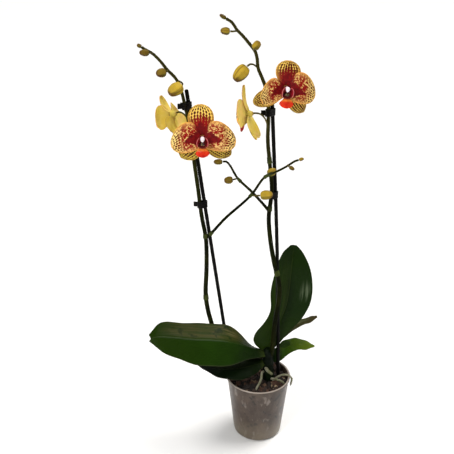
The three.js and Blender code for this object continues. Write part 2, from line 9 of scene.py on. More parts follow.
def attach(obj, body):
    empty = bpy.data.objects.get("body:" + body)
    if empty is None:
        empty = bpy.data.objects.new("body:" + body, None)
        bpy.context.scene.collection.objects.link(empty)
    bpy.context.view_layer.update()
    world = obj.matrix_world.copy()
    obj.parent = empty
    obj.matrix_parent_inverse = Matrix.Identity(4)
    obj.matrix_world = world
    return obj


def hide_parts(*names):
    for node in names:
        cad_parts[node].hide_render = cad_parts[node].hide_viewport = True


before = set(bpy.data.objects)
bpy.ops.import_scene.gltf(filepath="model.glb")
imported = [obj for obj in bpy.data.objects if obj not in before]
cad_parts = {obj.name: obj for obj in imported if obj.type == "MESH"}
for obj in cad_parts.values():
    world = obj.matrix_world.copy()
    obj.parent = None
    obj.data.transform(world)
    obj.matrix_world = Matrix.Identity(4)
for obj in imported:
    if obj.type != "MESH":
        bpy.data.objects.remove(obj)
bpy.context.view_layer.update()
mm = 0.001
draws = random.Random(23)


# Selecting and finishing

def deselectAll():
    bpy.ops.object.select_all(action="DESELECT")


def takeUp(piece):
    deselectAll()
    piece.select_set(True)
    bpy.context.view_layer.objects.active = piece


def pick(piece, chosen):  # selects the vertices whose index is in chosen, in edit mode
    shape = bmesh.from_edit_mesh(piece.data)
    for corner in shape.verts:
        corner.select = corner.index in chosen
    shape.select_flush_mode()
    bmesh.update_edit_mesh(piece.data)


def pickFaces(piece, wanted):  # selects the faces for which wanted says yes, in edit mode
    shape = bmesh.from_edit_mesh(piece.data)
    for face in shape.faces:
        face.select = wanted(face)
    shape.select_flush_mode()
    bmesh.update_edit_mesh(piece.data)


def modify(piece, kind, **settings):
    takeUp(piece)
    added = piece.modifiers.new(kind.title(), kind)
    for key, value in settings.items():
        setattr(added, key, value)
    bpy.ops.object.modifier_apply(modifier=added.name)


def smoothen(piece, levels):
    modify(piece, "SUBSURF", levels=levels, render_levels=levels)


def copyOf(piece, matrix):  # a copy with a mesh of its own, placed in that mesh
    twin = piece.copy()
    twin.data = piece.data.copy()
    twin.data.transform(matrix)
    if matrix.determinant() < 0:
        twin.data.flip_normals()
    bpy.context.scene.collection.objects.link(twin)
    return twin


def joined(pieces, name):
    deselectAll()
    for piece in pieces:
        piece.select_set(True)
    bpy.context.view_layer.objects.active = pieces[0]
    if len(pieces) > 1:
        bpy.ops.object.join()
    pieces[0].name = name
    return pieces[0]


def paintWith(piece, *paints):
    piece.data.materials.clear()
    for paint in paints:
        piece.data.materials.append(paint)


def putIn(piece, name, node, slot, angle=50):
    takeUp(piece)
    piece.name = name
    bpy.ops.object.shade_smooth_by_angle(angle=math.radians(angle))
    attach(piece, "root")
    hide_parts(node)


# Shader maths

class Signal:  # one socket of a shader, so that sums on it are written as Python
    def __init__(self, paint, socket):
        self.paint = paint
        self.socket = socket

    def maths(self, operation, *values):
        return self.paint.add("ShaderNodeMath", {"operation": operation}, list(values))

    def __add__(self, other):
        return self.maths("ADD", self, other)

    def __sub__(self, other):
        return self.maths("SUBTRACT", self, other)

    def __rsub__(self, other):
        return self.maths("SUBTRACT", other, self)

    def __mul__(self, other):
        return self.maths("MULTIPLY", self, other)

    def __truediv__(self, other):
        return self.maths("DIVIDE", self, other)

    def __pow__(self, other):
        return self.maths("POWER", self, other)

    __radd__ = __add__
    __rmul__ = __mul__

    def floor(self):
        return self.maths("FLOOR", self)

    def fract(self):
        return self.maths("FRACT", self)

    def size(self):
        return self.maths("ABSOLUTE", self)

    def root(self):
        return self.maths("SQRT", self)

    def wave(self, turns=1):  # runs from -1 to 1 and back over each whole number
        return self.maths("SINE", self * (turns * 2 * math.pi))

    def most(self, other):
        return self.maths("MAXIMUM", self, other)

    def least(self, other):
        return self.maths("MINIMUM", self, other)

    def between(self, low, high):  # 0 below low, 1 above high, smooth between
        values = {"Value": self, "From Min": low, "From Max": high}
        return self.paint.add("ShaderNodeMapRange", {"interpolation_type": "SMOOTHSTEP"}, values)


class Paint:
    def __init__(self, name, **constants):
        self.material = bpy.data.materials.new(name)
        self.material.use_nodes = True
        self.tree = self.material.node_tree
        self.shader = self.tree.nodes["Principled BSDF"]
        for key, value in constants.items():
            self.shader.inputs[key.replace("_", " ")].default_value = value

    def add(self, kind, settings, values, output=0):
        node = self.tree.nodes.new(kind)
        for key, value in settings.items():
            setattr(node, key, value)
        pairs = values.items() if isinstance(values, dict) else enumerate(values)
        for key, value in pairs:
            self.feed(node.inputs[key], value)
        return Signal(self, node.outputs[output])

    def feed(self, socket, value):
        if isinstance(value, Signal):
            self.tree.links.new(value.socket, socket)
        else:
            socket.default_value = value

    def place(self):
        return self.add("ShaderNodeTexCoord", {}, [], "Object")

    def height(self):
        return self.add("ShaderNodeSeparateXYZ", {}, [self.place()], 2)

    def sheetPlace(self):  # the piece's own map: across and along
        flat = self.add("ShaderNodeTexCoord", {}, [], "UV")
        return [self.add("ShaderNodeSeparateXYZ", {}, [flat], part) for part in (0, 1)]

    def attribute(self, name):
        return self.add("ShaderNodeAttribute", {"attribute_name": name}, [], "Fac")

    def stretched(self, scale, turn=(0, 0, 0)):
        return self.add("ShaderNodeMapping", {}, {"Vector": self.place(), "Scale": scale, "Rotation": turn})

    def noise(self, scale, detail=3, rough=0.55, vector=None, twist=0):
        values = {"Vector": vector or self.place(), "Scale": scale, "Detail": detail, "Roughness": rough,
                  "Distortion": twist}
        return self.add("ShaderNodeTexNoise", {}, values)

    def cells(self, scale):
        return self.add("ShaderNodeTexVoronoi", {}, {"Vector": self.place(), "Scale": scale}, "Distance")

    def chance(self, number):
        return self.add("ShaderNodeTexWhiteNoise", {"noise_dimensions": "1D"}, {"W": number})

    def ramp(self, number, *stops):
        colour = self.add("ShaderNodeValToRGB", {}, [number])
        elements = colour.socket.node.color_ramp.elements
        while len(elements) < len(stops):
            elements.new(0.5)
        for element, (place, tint) in zip(elements, stops):
            element.position = place
            element.color = (*tint, 1)
        return colour

    def mix(self, amount, first, second):
        colours = [value if isinstance(value, Signal) else (*value, 1) for value in (first, second)]
        return self.add("ShaderNodeMix", {"data_type": "RGBA"}, {0: amount, 6: colours[0], 7: colours[1]}, 2)

    def layers(self, body, *layers):  # lays each colour over what is there, by its amount
        for amount, colour in layers:
            body = self.mix(amount, body, colour)
        return body

    def vector(self, *parts):
        return self.add("ShaderNodeCombineXYZ", {}, list(parts))

    def connect(self, **feeds):
        for key, value in feeds.items():
            self.feed(self.shader.inputs[key.replace("_", " ")], value)
        return self.material

    def finish(self, body, rough, relief, depth, strength, **feeds):
        bump = self.add("ShaderNodeBump", {}, {"Height": relief, "Distance": depth, "Strength": strength})
        return self.connect(Base_Color=body, Roughness=rough, Normal=bump, **feeds)


def scaled(colour, amount):
    return tuple(part * amount for part in colour)


# Camera, light and floor

view = {"stand": (-0.059, -1.010, 0.8295), "downward": 22, "lens": 50.35, "chip": 36}
lights = {
    "sun": {
        "kind": "SUN", "at": (0.35, 0.17, 0.92), "to": (0, 0, 0), "size": 0.7, "power": 3.0,
        "tint": (1, 0.98, 0.95),
    },
    "key": {
        "kind": "AREA", "at": (-1.2, -1.6, 1.7), "to": (0, 0, 0.5), "size": 0.6, "power": 32,
        "tint": (1, 0.99, 0.97),
    },
}
studio = {"low": 0.46, "high": 0.22, "from": 0.15, "until": 0.6, "seen": 1.0, "floor": 80, "under": 0.0002}


def makeCamera():
    lens = bpy.data.cameras.new("camera")
    lens.sensor_width = view["chip"]
    lens.lens = view["lens"]
    lens.clip_end = 100
    camera = bpy.data.objects.new("camera", lens)
    camera.location = view["stand"]
    camera.rotation_euler = (math.radians(90 - view["downward"]), 0, 0)
    bpy.context.scene.collection.objects.link(camera)
    bpy.context.scene.camera = camera


def makeLight(name, kind, at, to, size, power, tint):
    lamp = bpy.data.lights.new(name, kind)
    lamp.energy = power
    lamp.color = tint
    if kind == "SUN":
        lamp.angle = size
    else:
        lamp.shape = "DISK"
        lamp.size = size
    light = bpy.data.objects.new(name, lamp)
    light.location = at
    light.rotation_euler = (Vector(to) - Vector(at)).to_track_quat("-Z", "Y").to_euler()
    bpy.context.scene.collection.objects.link(light)


def makeWorld():  # white to the camera, but it lights less from overhead, so that dark leaves keep depth
    world = bpy.data.worlds.new("studio")
    world.use_nodes = True
    nodes, links = world.node_tree.nodes, world.node_tree.links
    kinds = ("TexCoord", "SeparateXYZ", "MapRange", "LightPath", "Mix")
    ray, part, fade, path, choice = [nodes.new("ShaderNode" + kind) for kind in kinds]
    links.new(ray.outputs["Generated"], part.inputs[0])
    links.new(part.outputs["Z"], fade.inputs["Value"])
    for key, value in (("From Min", "from"), ("From Max", "until"), ("To Min", "low"), ("To Max", "high")):
        fade.inputs[key].default_value = studio[value]
    links.new(path.outputs["Is Camera Ray"], choice.inputs["Factor"])
    links.new(fade.outputs[0], choice.inputs["A"])
    choice.inputs["B"].default_value = studio["seen"]
    links.new(choice.outputs[0], nodes["Background"].inputs["Strength"])
    nodes["Background"].inputs["Color"].default_value = (1, 1, 1, 1)
    bpy.context.scene.world = world
    bpy.context.scene.view_settings.view_transform = "Standard"


def makeFloor():
    bpy.ops.mesh.primitive_plane_add(size=studio["floor"], location=(0, 0, -studio["under"]))
    floor = bpy.context.object
    floor.name = "floor"
    paint = Paint("pale floor", Roughness=0.9, Specular_IOR_Level=0.1)
    shade = paint.mix(paint.noise(0.8, 2), (0.92, 0.92, 0.92), (0.95, 0.95, 0.95))
    paintWith(floor, paint.connect(Base_Color=shade))


makeCamera()
for lightName, light in lights.items():
    makeLight(lightName, **light)
makeWorld()
makeFloor()
print("camera, light and floor are set")


# Curves and sheets

def curvePoint(knots, along):  # a centripetal curve through the knots, by knot number
    spans = len(knots) - 1
    number = min(int(along * spans), spans - 1)
    part = along * spans - number
    p1, p2 = knots[number], knots[number + 1]
    p0 = knots[number - 1] if number else 2 * p1 - p2
    p3 = knots[number + 2] if number + 2 <= spans else 2 * p2 - p1
    d0, d1, d2 = [max((b - a).length ** 0.5, 1e-6) for a, b in ((p0, p1), (p1, p2), (p2, p3))]
    t1 = ((p1 - p0) / d0 - (p2 - p0) / (d0 + d1) + (p2 - p1) / d1) * d1
    t2 = ((p2 - p1) / d1 - (p3 - p1) / (d1 + d2) + (p3 - p2) / d2) * d1
    c2 = 3 * (p2 - p1) - 2 * t1 - t2
    c3 = 2 * (p1 - p2) + t1 + t2
    return p1 + part * (t1 + part * (c2 + part * c3))


def vectors(points):
    return [Vector(point) * mm for point in points]


def evenPoints(route, spacing, steps=400):  # points along a route at an even spacing
    fine = [curvePoint(route, i / steps) for i in range(steps + 1)]
    lengths = [0]
    for a, b in zip(fine, fine[1:]):
        lengths.append(lengths[-1] + (b - a).length)
    count = max(3, round(lengths[-1] / spacing))
    spots = []
    number = 0
    for i in range(count + 1):
        goal = lengths[-1] * i / count
        while number < steps - 1 and lengths[number + 1] < goal:
            number += 1
        part = (goal - lengths[number]) / max(lengths[number + 1] - lengths[number], 1e-9)
        spots.append(fine[number].lerp(fine[number + 1], part))
    return spots


def meshOf(name, curve):
    piece = bpy.data.objects.new(name, curve)
    bpy.context.scene.collection.objects.link(piece)
    takeUp(piece)
    bpy.ops.object.convert(target="MESH")
    return bpy.context.object


def tube(name, points, radii, roundness=5):  # a closed tube through the points
    curve = bpy.data.curves.new(name, "CURVE")
    curve.dimensions = "3D"
    curve.bevel_depth = 1
    curve.bevel_resolution = roundness
    curve.use_fill_caps = True
    line = curve.splines.new("POLY")
    line.points.add(len(points) - 1)
    for knot, point, radius in zip(line.points, points, radii):
        knot.co = (*point, 1)
        knot.radius = radius
    return meshOf(name, curve)


def sheet(name, rows, columns, placeAt=None):  # a flat grid, or one laid by placeAt(along, across)
    deselectAll()
    bpy.ops.mesh.primitive_grid_add(x_subdivisions=columns, y_subdivisions=rows, size=2, location=(0, 0, 0))
    piece = bpy.context.object
    piece.name = name
    if placeAt:
        for corner in piece.data.vertices:
            corner.co = placeAt((corner.co.y + 1) / 2, corner.co.x)
    return piece


def turnedShape(name, profile, sides=24, rings=16, seams=(), depth=1.0):
    # a sphere whose rings are widened to a profile, from 0 to 1 along Z, with the seams pressed in
    deselectAll()
    bpy.ops.mesh.primitive_uv_sphere_add(segments=sides, ring_count=rings, radius=1, location=(0, 0, 0))
    piece = bpy.context.object
    piece.name = name
    spots = [corner.co.copy() for corner in piece.data.vertices]
    ringOf = [round(math.acos(max(-1, min(1, -spot.z))) / math.pi * rings) for spot in spots]
    angleOf = [math.degrees(math.atan2(spot.y, spot.x)) % 360 for spot in spots]
    bpy.ops.object.mode_set(mode="EDIT")
    for ring in range(1, rings):
        pick(piece, {i for i, number in enumerate(ringOf) if number == ring})
        widen = profile(ring / rings) / math.sin(math.pi * ring / rings)
        bpy.ops.transform.resize(value=(widen, widen, 1), center_override=(0, 0, 0))
    for seam in seams:
        near = {i for i, angle in enumerate(angleOf) if abs((angle - seam + 180) % 360 - 180) < 1}
        pick(piece, {i for i in near if 0 < ringOf[i] < rings})
        bpy.ops.transform.resize(value=(depth, depth, 1), center_override=(0, 0, 0))
    bpy.ops.object.mode_set(mode="OBJECT")
    piece.data.transform(Matrix.Translation((0, 0, 0.5)) @ Matrix.Scale(0.5, 4, (0, 0, 1)))
    return piece


def standing(start, end, width, turn=0):  # puts a unit shape along a line, width across
    axis = end - start
    aim = axis.to_track_quat("Z", "Y").to_matrix().to_4x4()
    size = Matrix.Diagonal((width / 2, width / 2, axis.length, 1))
    return Matrix.Translation(start) @ aim @ Matrix.Rotation(turn, 4, "Z") @ size


# Pot

pot = {
    "rim": 60, "foot": 45.8, "height": 122, "wall": 1.4, "band": 4, "proud": 2, "sides": 96, "slots": 8,
    "slotFaces": 2, "slotHeights": (0.5, 7), "slotDepth": 0.9, "slotInset": 0.4, "bevel": 0.35,
    "tint": (0.036, 0.021, 0.013), "pale": (0.19, 0.14, 0.10), "footTint": (0.20, 0.165, 0.115),
    "stain": (0.006, 0.004, 0.002), "smear": (0.42, 0.36, 0.31), "rimTint": (0.40, 0.34, 0.29), "see": 0.96,
}


def potPaint():
    paint = Paint("taupe grow pot", Specular_IOR_Level=0.35, Coat_Weight=0.18, Coat_Roughness=0.12)
    height = paint.height()
    cloud = paint.noise(38, 4, 0.6)
    flecks = 1 - paint.cells(170).between(0.10, 0.22)
    sheenStreaks = paint.noise(1, 3, 0.6, paint.stretched((70, 70, 30)))
    smears = paint.noise(1, 2, 0.5, paint.stretched((95, 75, 40), (0.5, 0.5, 0))).between(0.60, 0.74)
    stains = paint.noise(85, 3, 0.55).between(0.59, 0.64)
    body = paint.layers(
        pot["tint"],
        (cloud.between(0.35, 0.7), scaled(pot["tint"], 1.3)),
        # pale vertical streaks: painted reflections of the light on the plastic
        ((sheenStreaks - 0.40) * 0.65, pot["pale"]),
        (flecks * 0.25, pot["pale"]),
        (stains * 0.75, pot["stain"]),
        (smears * 0.30, pot["smear"]),
        ((1 - height.between(0.002, 0.060)) * (0.15 + cloud * 0.9), pot["footTint"]),
        (height.between(0.1203, 0.1212) * 0.7, pot["rimTint"]),
    )
    return paint.finish(body, 0.28 + cloud * 0.22, cloud + sheenStreaks * 0.4, 0.0006, 0.5,
                        Alpha=pot["see"] + (sheenStreaks - 0.5) * 0.12)


def potRings():  # radius and height of each ring, up the outside and down the inside
    rim, foot, top, wall = [pot[key] for key in ("rim", "foot", "height", "wall")]
    band, side = top - pot["band"], rim - pot["proud"]
    return [
        (foot - 3.5, 1), (foot - 0.8, 4), (foot, 8), (foot + 0.1, 9.2), (side - 0.1, band - 1.4),
        (side, band), (rim - 0.3, band), (rim, band + 0.4), (rim, top - 1), (rim - 0.8, top),
        (side - 0.4, top), (side - wall, top - 1.2), (side - wall, band), (foot - wall, 8.5),
        (foot - wall - 1, 5), (foot - wall - 3.5, 2.6), (foot - 9, 1.6),
    ]


def makePot():
    deselectAll()
    reach, height = pot["foot"] - 8, 0
    bpy.ops.mesh.primitive_circle_add(vertices=pot["sides"], radius=reach * mm, fill_type="NGON")
    piece = bpy.context.object
    bpy.ops.object.mode_set(mode="EDIT")
    for radius, level in potRings():
        bpy.ops.mesh.region_to_loop()
        bpy.ops.mesh.extrude_edges_move(TRANSFORM_OT_translate={"value": (0, 0, (level - height) * mm)})
        wider = radius / reach
        bpy.ops.transform.resize(value=(wider, wider, 1), center_override=(0, 0, level * mm))
        bpy.context.tool_settings.mesh_select_mode = (False, True, False)
        reach, height = radius, level
    bpy.ops.mesh.edge_face_add()
    step = 2 * math.pi / pot["slots"]
    width = pot["slotFaces"] * math.pi / pot["sides"]
    low, high = pot["slotHeights"]

    def inSlot(face):
        centre = face.calc_center_median()
        turn = (math.atan2(centre.y, centre.x) - step / 2) % step
        out = centre.xy.length > (pot["foot"] - 4) * mm and low * mm < centre.z < high * mm
        return out and face.normal.xy.dot(centre.xy) > 0 and min(turn, step - turn) < width
    bpy.ops.mesh.select_all(action="SELECT")
    bpy.ops.mesh.normals_make_consistent(inside=False)
    pickFaces(piece, inSlot)
    bpy.ops.mesh.inset(thickness=pot["slotInset"] * mm, depth=-pot["slotDepth"] * mm)
    bpy.ops.object.mode_set(mode="OBJECT")
    bend = math.radians(35)
    modify(piece, "BEVEL", width=pot["bevel"] * mm, segments=2, limit_method="ANGLE", angle_limit=bend)
    paintWith(piece, potPaint())
    putIn(piece, "grow_pot", "pot", "pot", 35)


# Bark

bark = {
    "top": 108, "sink": 3.5, "layers": 3, "layer": 1.9, "rise": 1.5, "margin": 4, "play": 0.4,
    "chips": 430, "kinds": 5, "chipSize": (5.2, 3.4, 2.4), "spread": (0.6, 1.45), "tumble": (0.5, 0.4),
    "sides": 64, "levels": (7, 9, 60, 103, 107), "foot": 9, "shoulder": 105, "height": 110,
    "dark": (0.006, 0.004, 0.003), "brown": (0.036, 0.018, 0.010), "red": (0.085, 0.035, 0.018),
    "pale": (0.30, 0.22, 0.13),
}


def barkPaint():
    paint = Paint("bark chips", Specular_IOR_Level=0.35)
    grain = paint.noise(1, 4, 0.65, paint.stretched((160, 700, 420), (0.4, 0.7, 0.2)))
    stops = zip((0, 0.5, 0.84, 0.97), [bark[tint] for tint in ("dark", "brown", "red", "pale")])
    tone = paint.ramp(paint.attribute("tone"), *stops)
    body = paint.mix(grain.between(0.3, 0.75) * 0.6, tone, bark["dark"])
    return paint.finish(body, 0.65 + grain * 0.3, grain, 0.0008, 1.0)


def chipShape(seed):
    deselectAll()
    bpy.ops.mesh.primitive_cube_add(size=2, location=(0, 0, 0))
    piece = bpy.context.object
    shove = random.Random(seed)
    bpy.ops.object.mode_set(mode="EDIT")
    for i in range(8):
        pick(piece, {i})
        bpy.ops.transform.translate(value=[shove.uniform(-0.35, 0.35) for _ in range(3)])
    bpy.ops.mesh.select_all(action="SELECT")
    bpy.ops.mesh.bevel(offset=0.22, segments=1)
    bpy.ops.object.mode_set(mode="OBJECT")
    return piece


def note(piece, name, values):  # a number at each vertex, for the piece's paint
    kept = piece.data.attributes.get(name) or piece.data.attributes.new(name, "FLOAT", "POINT")
    kept.data.foreach_set("value", values)


def barkChips(inside):  # a few shapes, scattered in layers that rise a little to the wall
    shapes = [chipShape(seed) for seed in range(bark["kinds"])]
    chips = []
    sideways, lengthwise = bark["tumble"]
    for _ in range(bark["chips"]):
        reach = math.sqrt(draws.random())
        turn = draws.uniform(0, 2 * math.pi)
        height = bark["top"] - bark["sink"] + draws.randrange(bark["layers"]) * bark["layer"]
        radius = reach * (inside - bark["margin"])
        place = Vector((radius * math.cos(turn), radius * math.sin(turn), height))
        place.z += draws.uniform(-1, 1) + bark["rise"] * reach
        sides = [side * draws.uniform(*bark["spread"]) * mm for side in bark["chipSize"]]
        size = Matrix.Diagonal((*sides, 1))
        spin = Matrix.Rotation(draws.uniform(0, 6.3), 4, "Z")
        spin = spin @ Matrix.Rotation(draws.gauss(0, sideways), 4, "X")
        spin = spin @ Matrix.Rotation(draws.gauss(0, lengthwise), 4, "Y")
        shape = shapes[draws.randrange(bark["kinds"])]
        chip = copyOf(shape, Matrix.Translation(place * mm) @ spin @ size)
        note(chip, "tone", [draws.random() ** 1.4] * len(chip.data.vertices))
        chips.append(chip)
    for shape in shapes:
        bpy.data.objects.remove(shape)
    return chips


def barkCore(foot, slope):  # the filling under the chips, one band drawn up after the other
    deselectAll()
    radius, height = foot - 7, 4
    bpy.ops.mesh.primitive_cylinder_add(
        vertices=bark["sides"], radius=radius * mm, depth=2 * mm, location=(0, 0, 0))
    core = bpy.context.object
    core.data.transform(Matrix.Translation((0, 0, 3 * mm)))
    bpy.ops.object.mode_set(mode="EDIT")
    for level in bark["levels"]:
        rounding = max(0, bark["foot"] - level) + max(0, level - bark["shoulder"]) * 2
        wider = foot + slope * (level - bark["foot"]) - rounding
        pickFaces(core, lambda face: face.normal.z > 0.9)
        bpy.ops.mesh.extrude_region_move(TRANSFORM_OT_translate={"value": (0, 0, (level - height) * mm)})
        share = wider / radius
        bpy.ops.transform.resize(value=(share, share, 1), center_override=(0, 0, level * mm))
        radius, height = wider, level
    bpy.ops.object.mode_set(mode="OBJECT")
    note(core, "tone", [0.15] * len(core.data.vertices))
    return core


def makeBark():
    inside = pot["rim"] - pot["proud"] - pot["wall"]
    foot = pot["foot"] - pot["wall"] - bark["play"]
    slope = (inside - pot["foot"] + pot["wall"]) / bark["height"]
    chips = barkChips(inside)
    piece = joined([barkCore(foot, slope), *chips], "bark")
    for corner in piece.data.vertices:  # nothing pokes through the wall
        room = (foot + slope * (corner.co.z / mm - bark["foot"])) * mm
        if corner.co.z > 0.01 and corner.co.xy.length > room:
            corner.co.xy *= room / corner.co.xy.length
    paintWith(piece, barkPaint())
    putIn(piece, "bark_chips", "bark_mix", "bark", 25)


# Leaves: each station gives the left margin, the midrib and the right margin

leafStations = {
    "leaf_large_left": [
        [[12, 5, 173], [13, -3, 170], [12, -8, 164]],
        [[-11, 3, 180], [-20, -12, 189], [-14, -23, 171]],
        [[-38, 3, 213], [-44, -24, 205], [-46, -50, 176]],
        [[-63, 1, 229], [-78, -34, 218], [-79, -62, 180]],
        [[-95, -6, 235], [-118, -42, 225], [-112, -69, 188]],
        [[-135, -17, 243], [-150, -48, 232], [-142, -71, 201]],
        [[-176, -35, 254], [-180, -54, 237], [-170, -69, 214]],
        [[-196, -54, 241], [-192, -58, 235], [-195, -62, 232]],
    ],
    "leaf_low_left": [
        [[12, 4, 153], [11, -3, 149], [11, -9, 146]],
        [[-14, 5, 154], [-16, -12, 147], [-12, -22, 132]],
        [[-44, 2, 157], [-44, -24, 149], [-42, -43, 138]],
        [[-76, -5, 160], [-76, -31, 153], [-78, -52, 152]],
        [[-100, -16, 165], [-99, -36, 161], [-101, -48, 165]],
        [[-112, -32, 168], [-112, -37, 168], [-112, -41, 168]],
    ],
    "leaf_tall_right": [
        [[10, 5, 168], [17, 6, 167], [25, 9, 167]],
        [[-9, 7, 185], [22, 11, 186], [40, 12, 183]],
        [[-8, 7, 205], [30, 15, 205], [57, 14, 205]],
        [[12, 12, 229], [42, 20, 232], [80, 17, 232]],
        [[21, 16, 252], [50, 23, 256], [94, 20, 259]],
        [[20, 18, 285], [55, 27, 290], [98, 25, 290]],
        [[27, 23, 322], [58, 33, 330], [93, 29, 326]],
        [[41, 32, 358], [61, 40, 358], [81, 37, 353]],
        [[55, 41, 370], [61, 42, 370], [67, 41, 369]],
    ],
    "leaf_narrow_right": [
        [[14, 10.5, 174], [17, 10.5, 170], [20, 10.5, 167]],
        [[28, 24, 189], [32, 23, 182], [37, 20, 179]],
        [[49, 32, 202], [52, 30, 196], [56, 25, 192]],
        [[74, 40, 214], [77, 37, 209], [79, 32, 206]],
        [[96, 48, 217], [97, 45, 212], [98, 41, 208]],
        [[112, 52, 219], [113, 51, 217], [114, 49, 215]],
    ],
    "leaf_small_right": [
        [[20, 6, 164.5], [20, 5.8, 158], [20, 5.4, 152]],
        [[32, 6, 176], [34, 7, 159], [35, 8, 142]],
        [[46, 11, 188], [48, 9, 171], [48, 7, 152]],
        [[66, 9, 195], [68, 3, 185], [68, -2, 175]],
        [[84, 6, 193], [87, 0, 185], [85, -5, 178]],
        [[101, 0, 186], [104, -3, 185], [101, -5, 183]],
    ],
}
leafLook = {
    "thickness": 2.0, "edge": 0.5, "rows": 30, "columns": 14, "ripple": 0.6, "sag": 0.12,
    "veins": 34, "rib": (0.050, 0.070, 0.014), "vein": (0.040, 0.065, 0.010), "rim": (0.060, 0.055, 0.030),
}
# face colours at the foot, in the middle and at the tip, then the colour of the painted sheen, a painted
# reflection of the light, that lies over one half of it
leafTints = {
    "leaf_large_left": [
        (0.003, 0.010, 0.001), (0.007, 0.023, 0.001), (0.010, 0.025, 0.001), (0.056, 0.046, 0.012),
    ],
    # leaf_low_left is darkened throughout as painted shade: it lies in the shade under the large leaf
    "leaf_low_left": [
        (0.003, 0.007, 0.001), (0.001, 0.005, 0.001), (0.002, 0.008, 0.001), (0.007, 0.011, 0.002),
    ],
    "leaf_tall_right": [
        (0.012, 0.027, 0.002), (0.004, 0.014, 0.001), (0.005, 0.015, 0.001), (0.017, 0.032, 0.003),
    ],
    "leaf_narrow_right": [
        (0.014, 0.020, 0.004), (0.040, 0.045, 0.014), (0.055, 0.042, 0.018), (0.10, 0.11, 0.05),
    ],
    "leaf_small_right": [
        (0.002, 0.010, 0.001), (0.013, 0.038, 0.001), (0.085, 0.125, 0.006), (0.030, 0.055, 0.003),
    ],
    "back": [(0.008, 0.020, 0.002), (0.012, 0.030, 0.003), (0.014, 0.032, 0.004), (0.03, 0.04, 0.012)],
}
# where a blade carries a painted highlight: across, along and the colour of the painted highlight
leafPaintedHighlights = {
    "leaf_large_left": (0.22, 0.36, (0.12, 0.105, 0.045)),
    "leaf_tall_right": (0.86, 0.60, (0.10, 0.13, 0.075)),
    "leaf_narrow_right": (0.35, 0.60, (0.16, 0.17, 0.09)),
}


def leafPaint(name, tints, paintedHighlight=None):
    paint = Paint(name, Specular_IOR_Level=0.05)
    across, along = paint.sheetPlace()
    fromRib = (across - 0.5).size() * 2
    cloud = paint.noise(16, 3, 0.5)
    grain = paint.noise(90, 3, 0.6)
    sheenStreaks = paint.noise(1, 3, 0.6, paint.vector(across * 22, along * 3, 0))
    veins = (across + (cloud - 0.5) * 0.012).wave(leafLook["veins"])
    # painted sheen: one half of each blade is tinted as a painted reflection of the light, broken by darker
    # streaks
    paintedSheen = (1 - across.between(0.40, 0.52)) * along.between(0.12, 0.34) * (1 - along.between(0.62, 0.92))
    body = paint.layers(
        paint.ramp(along + (cloud - 0.5) * 0.2, (0.06, tints[0]), (0.45, tints[1]), (0.95, tints[2])),
        (paintedSheen * (0.35 + sheenStreaks.between(0.42, 0.62) * 0.65), tints[3]),
        (paintedSheen * paint.noise(48, 4, 0.6).between(0.55, 0.62) * 0.75, tints[0]),
        (cloud.between(0.45, 0.75) * 0.4, scaled(tints[1], 1.7)),
    )
    if paintedHighlight:
        # a painted highlight, streaked, where a lamp's reflection lies on the blade
        sideways, lengthwise = across - paintedHighlight[0], along - paintedHighlight[1]
        away = (sideways * sideways * 30 + lengthwise * lengthwise * 90).root()
        body = paint.mix((1 - away.between(0.1, 0.9)) * sheenStreaks.between(0.42, 0.60) * 0.8, body, paintedHighlight[2])
    body = paint.layers(
        body,
        # a paler line along the midrib: partly the rib's own colour, partly a painted highlight along it
        ((1 - fromRib.between(0.0, 0.04)) * 0.3, leafLook["rib"]),
        ((1 - along.between(0.0, 0.08)) * 0.45, leafLook["rib"]),
        ((veins * 0.5 + 0.5) * 0.08, leafLook["vein"]),
        (fromRib.between(0.97, 1.0) * 0.3, leafLook["rim"]),
    )
    relief = veins * 0.12 + cloud * 1.2 + grain * 0.15 + fromRib.between(0, 0.06) * 1.5
    return paint.finish(body, 0.2 + cloud * 0.16, relief, 0.0012, 0.5)


def makeLeaf(name, stations, facesUp, paints):
    rails = [vectors([station[i] for station in stations]) for i in range(3)]

    def placeAt(along, across):
        middle = curvePoint(rails[1], along)
        margin = curvePoint(rails[0 if across < 0 else 2], along)
        width = abs(across)
        ripple = leafLook["ripple"] * mm * math.sin(along * 26 + across * 2) * width ** 3
        place = middle.lerp(margin, width).lerp(middle, leafLook["sag"] * width * (1 - width))
        return place + Vector((0, 0.5 * ripple, ripple))
    piece = sheet(name, leafLook["rows"], leafLook["columns"], placeAt)
    weights = piece.vertex_groups.new(name="body")
    columns = leafLook["columns"] + 1
    for corner in piece.data.vertices:
        fromRib = abs(2 * (corner.index % columns) / (columns - 1) - 1)
        weights.add([corner.index], 1 - (1 - leafLook["edge"]) * fromRib, "REPLACE")
    if not facesUp:
        piece.data.flip_normals()
    paintWith(piece, *paints)
    modify(piece, "SOLIDIFY", thickness=leafLook["thickness"] * mm, offset=0, vertex_group="body",
           material_offset=1, use_even_offset=True)
    smoothen(piece, 1)
    putIn(piece, name.replace("leaf", "blade"), name, "leaf", 60)


def makeLeaves():
    back = leafPaint("leaf back", leafTints["back"])
    for name, stations in leafStations.items():
        face = leafPaint(name, leafTints[name], leafPaintedHighlights.get(name))
        makeLeaf(name, stations, not name.endswith("_left"), [face, back])


# Crown and roots

